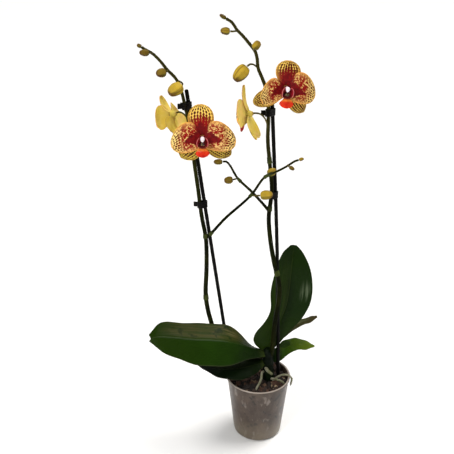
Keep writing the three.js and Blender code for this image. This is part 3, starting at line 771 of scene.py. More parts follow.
crown = {
    "foot": (20, 1, 78), "head": (17, 2, 177), "radius": 11.4, "taper": 2.2, "sheath": 0.9, "sheaths": 6,
    "steps": 60,
}
rootRoutes = {
    "root_front": (2.3, [
        [11, -4, 131], [6, -12, 132], [5, -20, 128], [2, -27, 122], [-3, -33, 116], [-7, -38, 108],
        [-8, -41, 99]]),
    "root_middle": (3.3, [[14, -5, 139], [16, -13, 139], [21, -17, 136], [26, -18, 133]]),
    "root_right": (2.2, [
        [20, -4, 115], [31, -13, 119], [40, -19, 120], [46, -21, 117], [49, -19, 111], [49, -16, 104]]),
    "root_rim": (2.2, [
        [26, -5, 108], [36, -9, 121], [46, -12, 128], [56, -13, 127.5], [62, -14.5, 121.5],
        [61, -15.5, 113], [60, -16, 107]]),
    "root_back": (2.4, [
        [12, 6, 130], [2, 22, 131], [-8, 34, 122], [-20, 40, 114], [-31, 38, 109], [-38, 26, 108]]),
}


def tissuePaint(name, first, second, specks, speckAmount, rough, scale):
    paint = Paint(name, Specular_IOR_Level=0.06)
    cloud = paint.noise(scale, 4, 0.6)
    fine = paint.noise(scale * 9, 3, 0.6)
    speckled = fine.between(0.6, 0.75) * speckAmount
    body = paint.layers(first, (cloud.between(0.35, 0.68), second), (speckled, specks))
    return paint.finish(body, rough + fine * 0.2, cloud + fine * 0.5, 0.0005, 0.6)


def makeCrown():
    low, high = vectors([crown["foot"], crown["head"]])
    steps = crown["steps"]
    points, radii = [], []
    for i in range(steps + 1):
        along = i / steps
        points.append(low.lerp(high, along))
        sheath = crown["sheath"] * (1 - (along * crown["sheaths"]) % 1) ** 0.6
        closing = min(1, 0.5 + (1 - along) * 12)
        radii.append((crown["radius"] - crown["taper"] * along + sheath) * mm * closing)
    piece = tube("crown", points, radii, 8)
    # the crown's dark green is darkened to near black as painted shade, for the shade between the leaf bases
    tones = (0.001, 0.003, 0.001), (0.004, 0.009, 0.002), (0.04, 0.045, 0.015)
    paintWith(piece, tissuePaint("leaf sheaths", *tones, 0.3, 0.4, 45))
    putIn(piece, "crown_sheaths", "crown", "stem", 60)


def makeRoots():
    paint = tissuePaint(
        "root skin", (0.21, 0.20, 0.145), (0.095, 0.10, 0.045), (0.46, 0.44, 0.36), 0.8, 0.6, 70)
    for name, (thick, route) in rootRoutes.items():
        points = evenPoints(vectors(route), 1.6 * mm)
        count = len(points) - 1
        wobble = random.Random(len(name))
        radii = []
        for i in range(count + 1):
            radii.append(thick * mm * (1 - 0.3 * (i / count) ** 3) * (1 + 0.08 * wobble.uniform(-1, 1)))
        radii[-2:] = [radii[-3] * 0.85, radii[-3] * 0.45]
        piece = tube(name, points, radii, 4)
        paintWith(piece, paint)
        smoothen(piece, 1)
        putIn(piece, name.replace("root", "aerial_root"), name, "root", 60)


# Stakes, spikes and buds

stakes = {
    "left": [[-36, 14, 12], [-65, 8.3, 227], [-94, 2.7, 442], [-123, -3, 656]],
    "right": [[41, 4, 12], [35, 3, 211], [27.5, 2, 395], [12.5, 1, 640]],
}
stakeRadius = 3.2
stem = {
    "foot": 4.6, "tip": 2.2, "branch": 2.6, "branchTip": 1.7, "spacing": 3,
    "pedicel": 1.2, "pedicelSteps": 14,
}
# along a joint's sheath, and how proud of the stem it stands there
sheathSteps = ((0, 0.3), (0.06, 1.1), (0.13, 1.2), (0.24, 0.8), (0.5, 0.8), (0.8, 0.6), (1, 0.1))
spikes = {
    "left": {
        "stem": [
            [11, 5, 158], [-22, 6, 163], [-55, 1.5, 172], [-77, 4, 198], [-88, 7, 230], [-97, 6, 281],
            [-95, 3, 347], [-95.5, -0.5, 400], [-102, -0.5, 441], [-107.8, -4.5, 496], [-113, -6, 540],
            [-118, -8, 592], [-125, -10, 630], [-130, -12, 654], [-138, -13, 674], [-151, -14, 688],
            [-161, -15, 701], [-172, -16, 712], [-184, -17, 719], [-188, -18, 722]],
        "branch": [
            [-95, -0.5, 401], [-86, -6, 412], [-63, -12, 441], [-20, -24, 487], [0, -29, 518], [9, -31, 525],
            [22, -32, 531], [36, -33, 539], [49, -34, 548], [55, -34, 550]],
        "stemJoints": [(0.285, 10), (0.47, 8)], "branchJoints": [(0.06, 8), (0.52, 8), (0.71, 17)],
    },
    "right": {
        "stem": [
            [17, 1, 151], [22, -1, 162], [25, -3, 180], [27, -4, 211], [29, -5, 243], [33.8, -6, 286],
            [33, -6, 316], [23, -4, 358], [15, -4, 404], [12, -4, 443], [15.8, -5.5, 489], [11.5, -5.5, 533],
            [7, -6, 575], [7, -7, 616], [5, -9, 644], [1, -10, 661], [-5, -11, 676], [-11, -12, 690],
            [-13, -13, 705], [-16, -14, 715], [-22, -15, 723], [-35, -16, 738], [-44, -17, 747],
            [-52, -18, 758], [-60, -20, 763]],
        "branch": [
            [12, -4, 452], [2, -9, 466], [-18, -14, 490], [-42, -14, 514], [-53, -13, 533], [-60, -12, 541],
            [-66, -12, 541]],
        "stemJoints": [(0.286, 10), (0.48, 9), (0.61, 12)], "branchJoints": [(0.6, 8)],
    },
}
# place on the stem, end of the pedicel, tip, diameter, and how ripe: 1 is yellow, 0 is brown-green
buds = {
    "bud_left_1": ([-137, -13, 672], [-129, -18, 665], [-148, -32, 654], 23, 1.0),
    "bud_left_2": ([-151, -14, 688], [-152, -20, 686], [-167, -27, 683], 15, 0.25),
    "bud_left_3": ([-172, -16, 712], [-176, -22, 714], [-191, -27, 715], 11, 0.1),
    "bud_left_tip": (None, [-188, -18, 722], [-195, -19, 726], 7, 0.1),
    "bud_left_branch_1": ([-20, -24, 487], [-5, -27, 488], [16, -31, 491], 17.5, 0.85),
    "bud_left_branch_2": ([6, -30, 523], [7, -24, 523], [21, -16, 529], 14, 0.6),
    "bud_left_branch_3": ([38, -33, 541], [40, -37, 540], [48, -41, 536], 7, 0.1),
    "bud_left_branch_tip": (None, [55, -34, 550], [63, -35, 553], 6, 0.45),
    "bud_right_1": ([-10, -12, 688], [-28, -20, 694], [-48, -26, 673], 24, 0.9),
    "bud_right_2": ([-17, -14, 716], [-18, -20, 720], [-11, -28, 731], 14, 0.7),
    "bud_right_3": ([-43, -17, 746], [-54, -19, 745], [-69, -20, 746], 12, 0.5),
    "bud_right_tip": (None, [-60, -20, 763], [-70, -20, 769], 7, 0.0),
    "bud_right_branch_1": ([-42, -14, 514], [-49, -17, 512], [-64, -20, 511], 14, 0.2),
    "bud_right_branch_tip": (None, [-66, -12, 541], [-81, -11, 540], 11, 0.2),
}
budTints = {
    "yellow": (0.56, 0.37, 0.034), "olive": (0.095, 0.058, 0.006), "green": (0.052, 0.066, 0.003),
    "brown": (0.070, 0.020, 0.006),
}
gap = 0.3  # between a bud, lip or column and what holds it


def stemPaint():
    paint = Paint("flower stem", Specular_IOR_Level=0.02)
    fine = paint.noise(420, 3, 0.6)
    body = paint.layers(
        (0.003, 0.004, 0.001),
        (paint.noise(30, 4, 0.6).between(0.38, 0.64), (0.011, 0.013, 0.002)),
        (paint.height().between(0.46, 0.66) * 0.6, (0.044, 0.038, 0.007)),
        (fine.between(0.62, 0.72) * 0.25, (0.09, 0.08, 0.03)),
    )
    return paint.finish(body, 0.32 + fine * 0.25, fine, 0.0003, 0.5)


def pedicelTube(start, end, axis):  # leaves the stem, and comes to the end along the axis
    control = end - axis * (end - start).length * 0.55
    steps = stem["pedicelSteps"]
    points, radii = [], []
    for i in range(steps + 1):
        t = i / steps
        points.append(start.lerp(control, t).lerp(control.lerp(end, t), t))
        radii.append((stem["pedicel"] + 0.3 * t + 0.6 * math.exp(-i)) * mm)
    return tube("pedicel", points, radii, 4)


def jointSheath(points, radii, at, length):  # a ring and a thin sheath that hugs the stem above it
    first = round(at * (len(points) - 1))
    spots, widths = [], []
    for part, proud in sheathSteps:
        steps = part * length / stem["spacing"]
        number = min(first + int(steps), len(points) - 2)
        spots.append(points[number].lerp(points[number + 1], steps - int(steps)))
        widths.append(radii[number] + proud * mm)
    return tube("sheath", spots, widths, 5)


def taperedStem(route, foot, tip, power, roundness):
    points = evenPoints(vectors(route), stem["spacing"] * mm)
    count = len(points) - 1
    radii = [(foot + (tip - foot) * (i / count) ** power) * mm for i in range(count + 1)]
    return tube("stem", points, radii, roundness), points, radii


def pedicelEnds(side):  # where each pedicel of a spike starts and ends, and the axis of what it holds
    for name, (joint, base, tip, *_) in buds.items():
        if joint and name.startswith("bud_" + side):
            yield Vector(joint) * mm, Vector(base) * mm, (Vector(tip) - Vector(base)).normalized()
    for bloom in blooms.values():
        if bloom["spike"] == side:
            back = bloomFrame(bloom) @ Vector((0, (receptacle["back"] + gap) * mm, 0))
            yield Vector(bloom["joint"]) * mm, back, Vector(bloom["facing"]).normalized()


def makeSpikes():
    tone = stemPaint()
    collar = tissuePaint(
        "stem collars", (0.045, 0.060, 0.010), (0.012, 0.014, 0.004), (0.20, 0.17, 0.07), 0.4, 0.4, 90)
    stalk = tissuePaint(
        "pedicels", (0.085, 0.068, 0.014), (0.036, 0.030, 0.007), (0.14, 0.11, 0.035), 0.3, 0.4, 60)
    for side, spike in spikes.items():
        main, *mainLine = taperedStem(spike["stem"], stem["foot"], stem["tip"], 1.3, 6)
        branch, *branchLine = taperedStem(spike["branch"], stem["branch"], stem["branchTip"], 1, 5)
        pedicels = [pedicelTube(*ends) for ends in pedicelEnds(side)]
        collars = [jointSheath(*mainLine, *joint) for joint in spike["stemJoints"]]
        collars += [jointSheath(*branchLine, *joint) for joint in spike["branchJoints"]]
        for pieces, paint in (([main, branch], tone), (pedicels, stalk), (collars, collar)):
            for part in pieces:
                paintWith(part, paint)
        piece = joined([main, branch, *pedicels, *collars], "spike")
        putIn(piece, "flower_spike_" + side, "spike_" + side, "stem", 60)


def budPaint(name, ripe):
    paint = Paint(name, Specular_IOR_Level=0.08)
    around, along = paint.sheetPlace()
    low, seam = [paint.attribute(kind) for kind in ("low", "seam")]
    cloud = paint.noise(90, 4, 0.6)
    veins = (around * 27 + (cloud - 0.5) * 0.8).wave()
    yellow, olive, green, brown = [budTints[tint] for tint in ("yellow", "olive", "green", "brown")]
    ground = tuple(a * ripe + b * (1 - ripe) for a, b in zip(yellow, olive))
    body = paint.layers(
        ground,
        (cloud.between(0.36, 0.7) * 0.4, scaled(ground, 0.45)),
        ((veins * 0.5 + 0.5) * 0.3, scaled(ground, 0.45)),
        (along.between(0.58, 1.0) * (0.90 - 0.45 * ripe), brown),
        ((1 - along.between(0.0, 0.28)) * 0.7, green),
        # painted shade: the downward-facing side is darkened to green, and under the tip to brown, which is
        # partly the bud's own brown
        (low.between(-0.1, 0.7) * 0.8, green),
        ((low + along * 1.3 + (cloud - 0.5)).between(0.95, 1.6) * 0.75, brown),
        (seam.between(0.84, 0.97) * 0.5, brown),
    )
    return paint.finish(body, 0.38 + cloud * 0.2, veins * 0.15 + cloud * 0.6, 0.0005, 0.6)


def roundProfile(lean):  # how wide a rounded body is along its length
    return lambda along: math.sin(math.pi * along ** lean) ** 0.8


def makeBuds():
    shape = turnedShape("bud", roundProfile(0.85), 6, 7, (60, 180, 300), 0.90)
    modify(shape, "BEVEL", width=0.10, segments=2, limit_method="ANGLE", angle_limit=math.radians(15))
    smoothen(shape, 2)
    turns = [math.degrees(math.atan2(corner.co.y, corner.co.x)) % 120 for corner in shape.data.vertices]
    note(shape, "seam", [1 - abs(turn - 60) / 60 for turn in turns])
    for name, (_, base, tip, width, ripe) in buds.items():
        start, end = vectors([base, tip])
        start += (end - start).normalized() * gap * mm
        piece = copyOf(shape, standing(start, end, width * mm, draws.uniform(0, 2)))
        # low says how far each point faces down, for the painted shade under the bud
        note(piece, "low", [-corner.normal.z for corner in piece.data.vertices])
        paintWith(piece, budPaint(name.replace("_", " "), ripe))
        putIn(piece, name.replace("bud", "flower_bud"), name, "bud", 60)
    bpy.data.objects.remove(shape)


def makeStakes():
    paint = tissuePaint(
        "black stake", (0.001, 0.001, 0.001), (0.003, 0.0025, 0.002), (0.02, 0.018, 0.014), 0.3, 0.4, 120)
    for side, route in stakes.items():
        low, *between, high = evenPoints(vectors(route), 20 * mm)
        axis = (high - between[-1]).normalized() * mm
        points = [low, low + axis * 3, *between, high - axis * 2, high - axis * 0.8, high]
        radii = [stakeRadius * mm * part for part in [0.4] + [1] * (len(points) - 3) + [0.85, 0.45]]
        piece = tube("stake", points, radii, 6)
        paintWith(piece, paint)
        putIn(piece, "support_stake_" + side, "stake_" + side, "stake", 50)


# Clips: a band about stem and stake, with two finger grips

clips = {
    "clip_left_top": (631, "left", 75), "clip_left_low": (463, "left", 80),
    "clip_right_top": (620, "right", 15), "clip_right_low": (480, "right", 80),
}
clip = {
    "radius": 4.9, "height": 12, "wall": 1.1, "ribs": 3, "groove": 0.7, "steps": 12, "bevel": 0.2,
    "grip": (8, 1.6, 8.4), "overlap": 1, "spread": 28, "cuts": 5, "ribInset": 0.1, "ribDepth": 0.3,
}


def crossing(route, height):
    above = next(i for i, spot in enumerate(route) if spot[2] > height)
    low, high = Vector(route[above - 1]), Vector(route[above])
    return low.lerp(high, (height - low.z) / (high.z - low.z))


def bandCurve(halfSpan, radius, level):  # a closed band about two centres
    curve = bpy.data.curves.new("band", "CURVE")
    curve.dimensions = "2D"
    curve.fill_mode = "NONE"
    curve.extrude = (clip["height"] / clip["ribs"] / 2 - clip["groove"]) * mm
    curve.bevel_depth = clip["wall"] / 2 * mm
    curve.bevel_resolution = 2
    line = curve.splines.new("POLY")
    spots = []
    for side in (1, -1):
        for i in range(clip["steps"] + 1):
            turn = i * math.pi / clip["steps"] - side * math.pi / 2
            spots.append((side * halfSpan + radius * math.cos(turn), radius * math.sin(turn)))
    line.points.add(len(spots) - 1)
    for knot, spot in zip(line.points, spots):
        knot.co = (spot[0] * mm, spot[1] * mm, 0, 1)
    line.use_cyclic_u = True
    piece = meshOf("band", curve)
    piece.data.transform(Matrix.Translation((0, 0, level * mm)))
    return piece


def gripShape(place, reach, turn):
    deselectAll()
    bpy.ops.mesh.primitive_cube_add(size=1, location=(0, 0, 0))
    piece = bpy.context.object
    piece.data.transform(Matrix.Diagonal((*[side * mm for side in clip["grip"]], 1)))
    length = clip["grip"][0]
    rib = length / (clip["cuts"] + 1)

    def isRib(face):  # every second strip of the two broad sides
        strip = int((face.calc_center_median().x / mm + length / 2) / rib)
        return abs(face.normal.y) > 0.9 and strip % 2 == 0
    bpy.ops.object.mode_set(mode="EDIT")
    bpy.ops.mesh.select_all(action="SELECT")
    bpy.ops.mesh.subdivide(number_cuts=clip["cuts"])
    pickFaces(piece, isRib)
    bpy.ops.mesh.inset(thickness=clip["ribInset"] * mm, depth=clip["ribDepth"] * mm)
    bpy.ops.object.mode_set(mode="OBJECT")
    turned = Matrix.Rotation(turn, 4, "Z") @ Matrix.Translation((reach, 0, 0))
    piece.data.transform(Matrix.Translation(place) @ turned)
    return piece


def makeClips():
    paint = tissuePaint(
        "dark clip", (0.001, 0.001, 0.001), (0.006, 0.005, 0.004), (0.16, 0.15, 0.13), 0.4, 0.25, 140)
    radius = clip["radius"] - clip["wall"] / 2
    ribs = clip["ribs"]
    step = clip["height"] / ribs
    reach = (clip["radius"] + clip["grip"][0] / 2 - clip["overlap"]) * mm
    for name, (height, side, turn) in clips.items():
        stemSide = crossing(spikes[side]["stem"], height)
        stakeSide = crossing(stakes[side], height)
        axis = stakeSide - stemSide
        halfSpan = axis.length / 2
        parts = [bandCurve(halfSpan, radius, (i - (ribs - 1) / 2) * step) for i in range(ribs)]
        for sign in (1, -1):
            aim = math.radians(180 - turn + sign * clip["spread"])
            parts.append(gripShape(Vector((-halfSpan * mm, 0, 0)), reach, aim))
        piece = joined(parts, name)
        middle = Matrix.Translation((stemSide + stakeSide) / 2 * mm)
        piece.data.transform(middle @ Matrix.Rotation(math.atan2(axis.y, axis.x), 4, "Z"))
        bend = math.radians(50)
        modify(piece, "BEVEL", width=clip["bevel"] * mm, segments=1, limit_method="ANGLE", angle_limit=bend)
        paintWith(piece, paint)
        putIn(piece, name.replace("clip", "stem_clip"), name, "clip", 40)


# Blooms: each tepal gives its angle from upright, forward lean, length and width

blooms = {
    "left_front": {
        "spike": "left", "joint": [-118, -8, 584], "centre": [-97, -45, 588], "facing": [0.03, -1, 0.06],
        "up": [0, 0.06, 1], "dorsal": [-4, -5, 52, 41], "petalRight": [98, 2, 52, 47],
        "petalLeft": [-103, 0, 50, 47], "lateralRight": [124, -13, 55, 32],
        "lateralLeft": [-133, -13, 49, 36],
    },
    "right_front": {
        "spike": "right", "joint": [5, -9, 643], "centre": [30, -45, 664], "facing": [0.12, -1, 0.06],
        "up": [0.1, 0.06, 1], "dorsal": [0, -1, 41.5, 39], "petalRight": [100, 1, 46, 46],
        "petalLeft": [-121, 4, 42, 35], "lateralRight": [134, -13, 50, 28],
        "lateralLeft": [-121, -12, 54, 28],
    },
    "left_rear": {
        "spike": "left", "joint": [-120, -8, 606], "centre": [-146, 6, 615], "facing": [-0.8, 0.45, -0.4],
        "up": [-0.45, -0.1, 0.85], "dorsal": [0, 8, 35, 18], "petalRight": [90, 20, 37, 35],
        "petalLeft": [-124, 16, 34, 32], "lateralRight": [132, 2, 34, 34], "lateralLeft": [-150, 0, 36, 34],
    },
    "right_rear": {
        "spike": "right", "joint": [7, -6.5, 592], "centre": [-25, -12, 619], "facing": [-0.93, 0.3, -0.2],
        "up": [-0.25, 0, 0.97], "dorsal": [0, 0, 46, 18], "petalRight": [88, 4, 46, 42],
        "petalLeft": [-112, 14, 44, 36], "lateralRight": [150, -12, 44, 32],
        "lateralLeft": [-160, -6, 46, 32],
    },
}
# the outline swells as reach ** foot and closes as (1 - reach) ** tip; the spots stand in rows, and close up
# to a solid patch that reaches as far as solid, on the side of the tepal that side says
tepals = {
    "dorsal": {
        "foot": 0.8, "tip": 0.55, "forward": 0, "bow": 4, "edge": 3, "wave": 0.5,
        "rows": 9, "along": 10, "solid": 0.50, "side": 0.5, "narrow": 1.0, "dot": 0.29, "grow": 0.22,
        "stretch": 0.75, "net": 0.0, "dense": 0.5, "ground": (0.90, 0.60, 0.12), "rim": (0.68, 0.34, 0.04),
    },
    "petal": {
        "foot": 0.28, "tip": 0.5, "forward": 1.8, "bow": 5, "edge": 3.5, "wave": 0.9,
        "rows": 10, "along": 11, "solid": 0.60, "side": 0.60, "narrow": 2.0, "dot": 0.325, "grow": 0.18,
        "stretch": 0.92, "net": 1.0, "dense": 0.3, "ground": (0.99, 0.74, 0.25), "rim": (0.84, 0.39, 0.065),
    },
    "lateral": {
        "foot": 0.7, "tip": 0.6, "forward": 0, "bow": 4, "edge": 2.5, "wave": 0.5,
        "rows": 8, "along": 14, "solid": 0.16, "side": 0.5, "narrow": 0.6, "dot": 0.29, "grow": 0.22,
        "stretch": 0.75, "net": 0.0, "dense": 0.4, "ground": (0.50, 0.36, 0.045), "rim": (0.46, 0.28, 0.035),
    },
}
tepalGrid = {
    "rows": 16, "columns": 12, "thickness": 0.8, "ripple": 0.9, "grain": 0.014,
    "rise": 7.5, "start": 2, "droop": 3, "claw": 0.075,
}
tepalTints = {
    "dot": (0.050, 0.005, 0.002), "nearDot": (0.26, 0.004, 0.004), "denseDot": (0.085, 0.007, 0.003),
    "maroon": (0.095, 0.001, 0.002), "red": (0.20, 0.003, 0.004), "amber": (0.90, 0.58, 0.10),
}
# the right front bloom's tepals, first and last by number, on which the spots stand closer
denseTepals = (5, 9)
receptacle = {"radius": 5.4, "front": -4.2, "back": 8, "straight": 0.55, "taper": 1.55}


def bloomFrame(bloom):
    back = -Vector(bloom["facing"]).normalized()
    side = back.cross(Vector(bloom["up"])).normalized()
    upright = side.cross(back)
    turn = Matrix((side, back, upright)).transposed().to_4x4()
    return Matrix.Translation(Vector(bloom["centre"]) * mm) @ turn


def outlineAt(look, reach):
    best = look["foot"] / (look["foot"] + look["tip"])
    here, widest = [at ** look["foot"] * (1 - at) ** look["tip"] for at in (reach, best)]
    return here / widest


def tepalShape(name, look):  # one unit tepal: across is -1 to 1 on X, along is 0 to 1 on Y, face up
    rows, columns, claw = [tepalGrid[key] for key in ("rows", "columns", "claw")]
    piece = sheet(name, rows, columns)
    rowOf = [round((corner.co.y + 1) / 2 * rows) for corner in piece.data.vertices]
    columnOf = [round((corner.co.x + 1) / 2 * columns) for corner in piece.data.vertices]
    bpy.ops.object.mode_set(mode="EDIT")
    for column in range(columns + 1):  # the edges turn back
        across = 2 * column / columns - 1
        pick(piece, {i for i, number in enumerate(columnOf) if number == column})
        bpy.ops.transform.translate(value=(0, 0, -look["edge"] * mm * across ** 2))
    for row in range(rows + 1):  # each row takes its width, then its place along the bow
        along = row / rows
        reach = (1 - math.cos(math.pi * along)) / 2
        half = claw + (1 - claw) * outlineAt(look, reach)
        bow = look["bow"] * math.sin(math.pi * reach * 0.8) - tepalGrid["droop"] * reach ** 4
        pick(piece, {i for i, number in enumerate(rowOf) if number == row})
        bpy.ops.transform.resize(value=(half, 1, math.sin(math.pi * reach / 2)), center_override=(0, 0, 0))
        bpy.ops.transform.translate(value=(0, reach - (2 * along - 1), (bow + look["forward"]) * mm))
    bpy.ops.object.mode_set(mode="OBJECT")
    for corner, column in zip(piece.data.vertices, columnOf):  # the wave
        across = 2 * column / columns - 1
        corner.co.z -= look["wave"] * mm * math.sin(9 * corner.co.y + 1.5 * across) * across * corner.co.y
    return piece


def tepalPaint(name, look):
    # dark dots in rows along the veins, that grow into a red net and then a solid patch towards the foot
    paint = Paint(name, Specular_IOR_Level=0.10, Subsurface_Weight=0.04, Subsurface_Scale=0.003)
    across, along = paint.sheetPlace()
    number, part = across.floor(), across.fract()
    reach = ((along - 0.5).wave(0.5) + 1) * 0.5
    cloud = paint.noise(210, 3, 0.6)
    soft = paint.noise(55, 3, 0.5)
    solid = look["solid"]
    first, last = denseTepals
    dense = number.between(first - 0.6, first - 0.4) * (1 - number.between(last + 0.4, last + 0.6))
    dense = dense * look["dense"]
    offSide = (part - look["side"]).size()
    rows = part * look["rows"] + (soft - 0.5)
    rowNumber = rows.floor() + number * 37
    steps = reach * look["along"] + paint.chance(rowNumber) + (cloud - 0.5) * 0.5
    sideways = (rows.fract() - 0.5) * 0.95
    lengthwise = (steps.fract() - 0.5) * look["stretch"]
    distance = (sideways * sideways + lengthwise * lengthwise).root() + (cloud - 0.5) * 0.24
    near = 1 - (reach + offSide * 0.4).between(solid - 0.05, solid + 0.4)
    chance = paint.chance(steps.floor() * 17 + rowNumber)
    cover = look["dot"] + chance * 0.12 + near * look["grow"] + dense * 0.12
    spots = 1 - (distance / cover).between(0.85, 1.1)
    weave = paint.vector(part * look["rows"], reach * (look["along"] * 0.75), number * 3)
    netPlace = 1 - (reach + (cloud - 0.5) * 0.3 - dense * 0.2).between(solid - 0.02, solid + 0.12)
    net = (1 - paint.noise(1.5, 3, 0.6, weave, 0.6).between(0.525, 0.575)) * netPlace * look["net"]
    spots = (spots * (1 - netPlace * (look["net"] * 0.6))).most(net)
    wedge = reach + offSide * look["narrow"] + (cloud - 0.5) * 0.36 - dense * 0.14
    patch = 1 - wedge.between(solid - 0.04, solid + 0.04)
    patch = patch.most(1 - reach.between(0.06, 0.14))
    rim = (((part - 0.5).size() * 2) ** 7).most(reach.between(0.93, 1.0)).least(1)
    tints = tepalTints
    dots = paint.layers(tints["dot"], (near, tints["nearDot"]), (dense * 0.6, tints["denseDot"]))
    maroon = paint.mix(cloud.between(0.3, 0.7), tints["maroon"], tints["red"])
    body = paint.layers(
        look["ground"],
        (soft.between(0.35, 0.7) * 0.35, look["rim"]),
        (dense * 0.8, tints["amber"]),
        (rim, look["rim"]),
        (spots * (1 - rim * 0.8), dots),
        (patch, maroon),
    )
    veins = (part * (look["rows"] * 2) + soft).wave()
    return paint.finish(body, 0.42 + cloud * 0.16, veins * 0.25 + cloud * 0.5 - spots * 0.2, 0.0005, 0.6)


def tepalBackPaint():
    paint = Paint("tepal backs", Specular_IOR_Level=0.10, Subsurface_Weight=0.05, Subsurface_Scale=0.003)
    across, along = paint.sheetPlace()
    soft = paint.noise(40, 3, 0.5)
    cloud = paint.noise(190, 3, 0.6)
    veins = (across.fract() * 22 + (soft - 0.5) * 1.4).wave()
    body = paint.layers(
        (0.80, 0.58, 0.070),
        (soft.between(0.32, 0.7), (0.86, 0.68, 0.17)),
        ((1 - along.between(0.0, 0.35)) * 0.5, (0.42, 0.40, 0.06)),
        ((veins * 0.5 + 0.5) * 0.18, (0.50, 0.34, 0.04)),
        (soft.between(0.52, 0.72) * 0.5, (0.84, 0.44, 0.16)),
    )
    return paint.finish(body, 0.5 + cloud * 0.12, veins * 0.35 + cloud * 0.4, 0.0005, 0.6)


def layTepal(shape, spec, number, mirrored, ripple):  # copies the unit tepal into a bloom's own frame
    angle, lean, length, width = spec
    start = tepalGrid["start"]
    size = Matrix.Diagonal((width / 2 * mm, (length - start) * mm, 1, 1))
    upright = Matrix.Rotation(math.pi / 2, 4, "X")
    out = Matrix.Translation((0, 0, start * mm))
    turn = Matrix.Rotation(math.radians(angle), 4, "Y") @ Matrix.Rotation(math.radians(lean), 4, "X")
    piece = copyOf(shape, Matrix())
    if shape.name == "petal":  # it rises towards the dorsal sepal
        rise = tepalGrid["rise"] * (2 if mirrored else -2) / width
        for corner in piece.data.vertices:
            corner.co.x += rise * math.sin(math.pi * max(corner.co.y, 0) ** 0.6)
    piece.data.transform(turn @ out @ upright @ size)
    for corner in piece.data.uv_layers[0].data:
        across = 1 - corner.uv.x if mirrored else corner.uv.x
        corner.uv.x = 0.002 + 0.996 * across + number
    strength = tepalGrid["ripple"] * mm
    modify(piece, "DISPLACE", texture=ripple, strength=strength, mid_level=0.5, texture_coords="LOCAL")
    modify(piece, "SOLIDIFY", thickness=tepalGrid["thickness"] * mm, offset=0, material_offset=1)
    smoothen(piece, 2)
    return piece


# each station of the lip gives its half width, then how far forward and how high its margin and middle lie
lipStations = [
    [1.6, 1.2, -4.2, 1.2, -4.2], [5.2, 4.5, -5.5, 4.5, -7.5], [6.4, 8, -9, 7.5, -11],
    [5.2, 9.5, -13, 9.5, -14], [9.5, 9.5, -17.5, 11.5, -17], [11, 10, -21, 12.5, -20.5],
    [7.5, 11, -25, 13, -24], [1.5, 12.6, -27, 13.2, -27],
]
lip = {
    "thickness": 1.0, "keel": 0.7, "crinkle": 0.4, "callus": (8, 4.8, 5.2), "callusAt": (6.4, -10.2),
    "claw": 1.6, "clawLine": ((0.4, -4.2), (2.6, -5.1), (5, -6.2)),
}
sideLobe = {
    "aside": 5.8, "forward": 8, "low": -11, "height": 14, "half": 1.2, "swell": 3.2,
    "bulge": 2.2, "close": 1.9, "flare": 1.5, "lean": 1.6,
}
column = {
    "length": 10, "radius": 3.5, "heights": (1.6, 0.4), "swell": [0.86, 0.8, 0.9, 1, 0.95, 0.5],
    "cap": 6, "capEnds": ((6, 3.2), (9.6, -3.4)),
}


def cupPaint():  # maroon in front, yellow-green behind
    paint = Paint("cup", Specular_IOR_Level=0.15)
    along = paint.sheetPlace()[1]
    cloud = paint.noise(160, 3, 0.6)
    body = paint.layers(
        (0.11, 0.002, 0.003),
        ((along + (cloud - 0.5) * 0.1).between(0.16, 0.24), (0.50, 0.40, 0.07)),
        (along.between(0.6, 1.0) * 0.6, (0.34, 0.16, 0.06)),
    )
    return paint.finish(body, 0.4 + cloud * 0.2, cloud, 0.0004, 0.5)


def lipPaint():
    paint = Paint("lip red", Specular_IOR_Level=0.08, Subsurface_Weight=0.08, Subsurface_Scale=0.003,
                  Coat_Roughness=0.2, Coat_Weight=0.12)
    across, along = paint.sheetPlace()
    cloud = paint.noise(220, 3, 0.6)
    soft = paint.noise(90, 3, 0.5)
    ridge = ((across - 0.5) * 9 + (soft - 0.5) * 0.5).wave()
    body = paint.layers(
        (0.46, 0.008, 0.004),
        (soft.between(0.3, 0.7), (0.68, 0.035, 0.006)),
        ((1 - along.between(0.50, 0.64)) * 0.8, (0.80, 0.24, 0.035)),
        (1 - along.between(0.36, 0.50), (0.040, 0.003, 0.005)),
        ((ridge * 0.5 + 0.5) * (1 - along.between(0.55, 0.8)) * 0.4, (0.30, 0.012, 0.008)),
    )
    return paint.finish(body, 0.34 + cloud * 0.15, ridge * 0.3 + cloud * 0.4, 0.0004, 0.6)


def sideLobePaint():
    paint = Paint("side lobes", Specular_IOR_Level=0.15, Subsurface_Weight=0.08, Subsurface_Scale=0.003)
    across, along = paint.sheetPlace()
    cloud = paint.noise(260, 3, 0.6)
    rim = (1 - across.between(0.01, 0.11)).most(along.between(0.88, 0.99))
    body = paint.layers(
        (0.16, 0.004, 0.012),
        (cloud.between(0.3, 0.7), (0.36, 0.012, 0.020)),
        ((1 - along.between(0.05, 0.35)) * 0.8, (0.06, 0.003, 0.006)),
        (rim * 0.65, (0.66, 0.22, 0.20)),
    )
    return paint.finish(body, 0.4 + cloud * 0.15, cloud, 0.0003, 0.6)


def callusPaint():
    paint = Paint("callus", Specular_IOR_Level=0.5)
    spots = paint.cells(420).between(0.16, 0.34)
    body = paint.mix(spots, (0.42, 0.32, 0.06), (0.030, 0.004, 0.005))
    return paint.finish(body, 0.3 + paint.noise(300, 2) * 0.2, spots, 0.0002, 0.5)


def columnPaint():
    paint = Paint("column", Specular_IOR_Level=0.5, Subsurface_Weight=0.1, Subsurface_Scale=0.003)
    cloud = paint.noise(240, 3, 0.6)
    body = paint.layers(
        (0.60, 0.14, 0.20),
        (paint.sheetPlace()[1].between(0.2, 0.5), (0.90, 0.80, 0.83)),
        (cloud.between(0.55, 0.75) * 0.35, (0.78, 0.42, 0.55)),
    )
    return paint.finish(body, 0.3 + cloud * 0.2, cloud, 0.0003, 0.5)


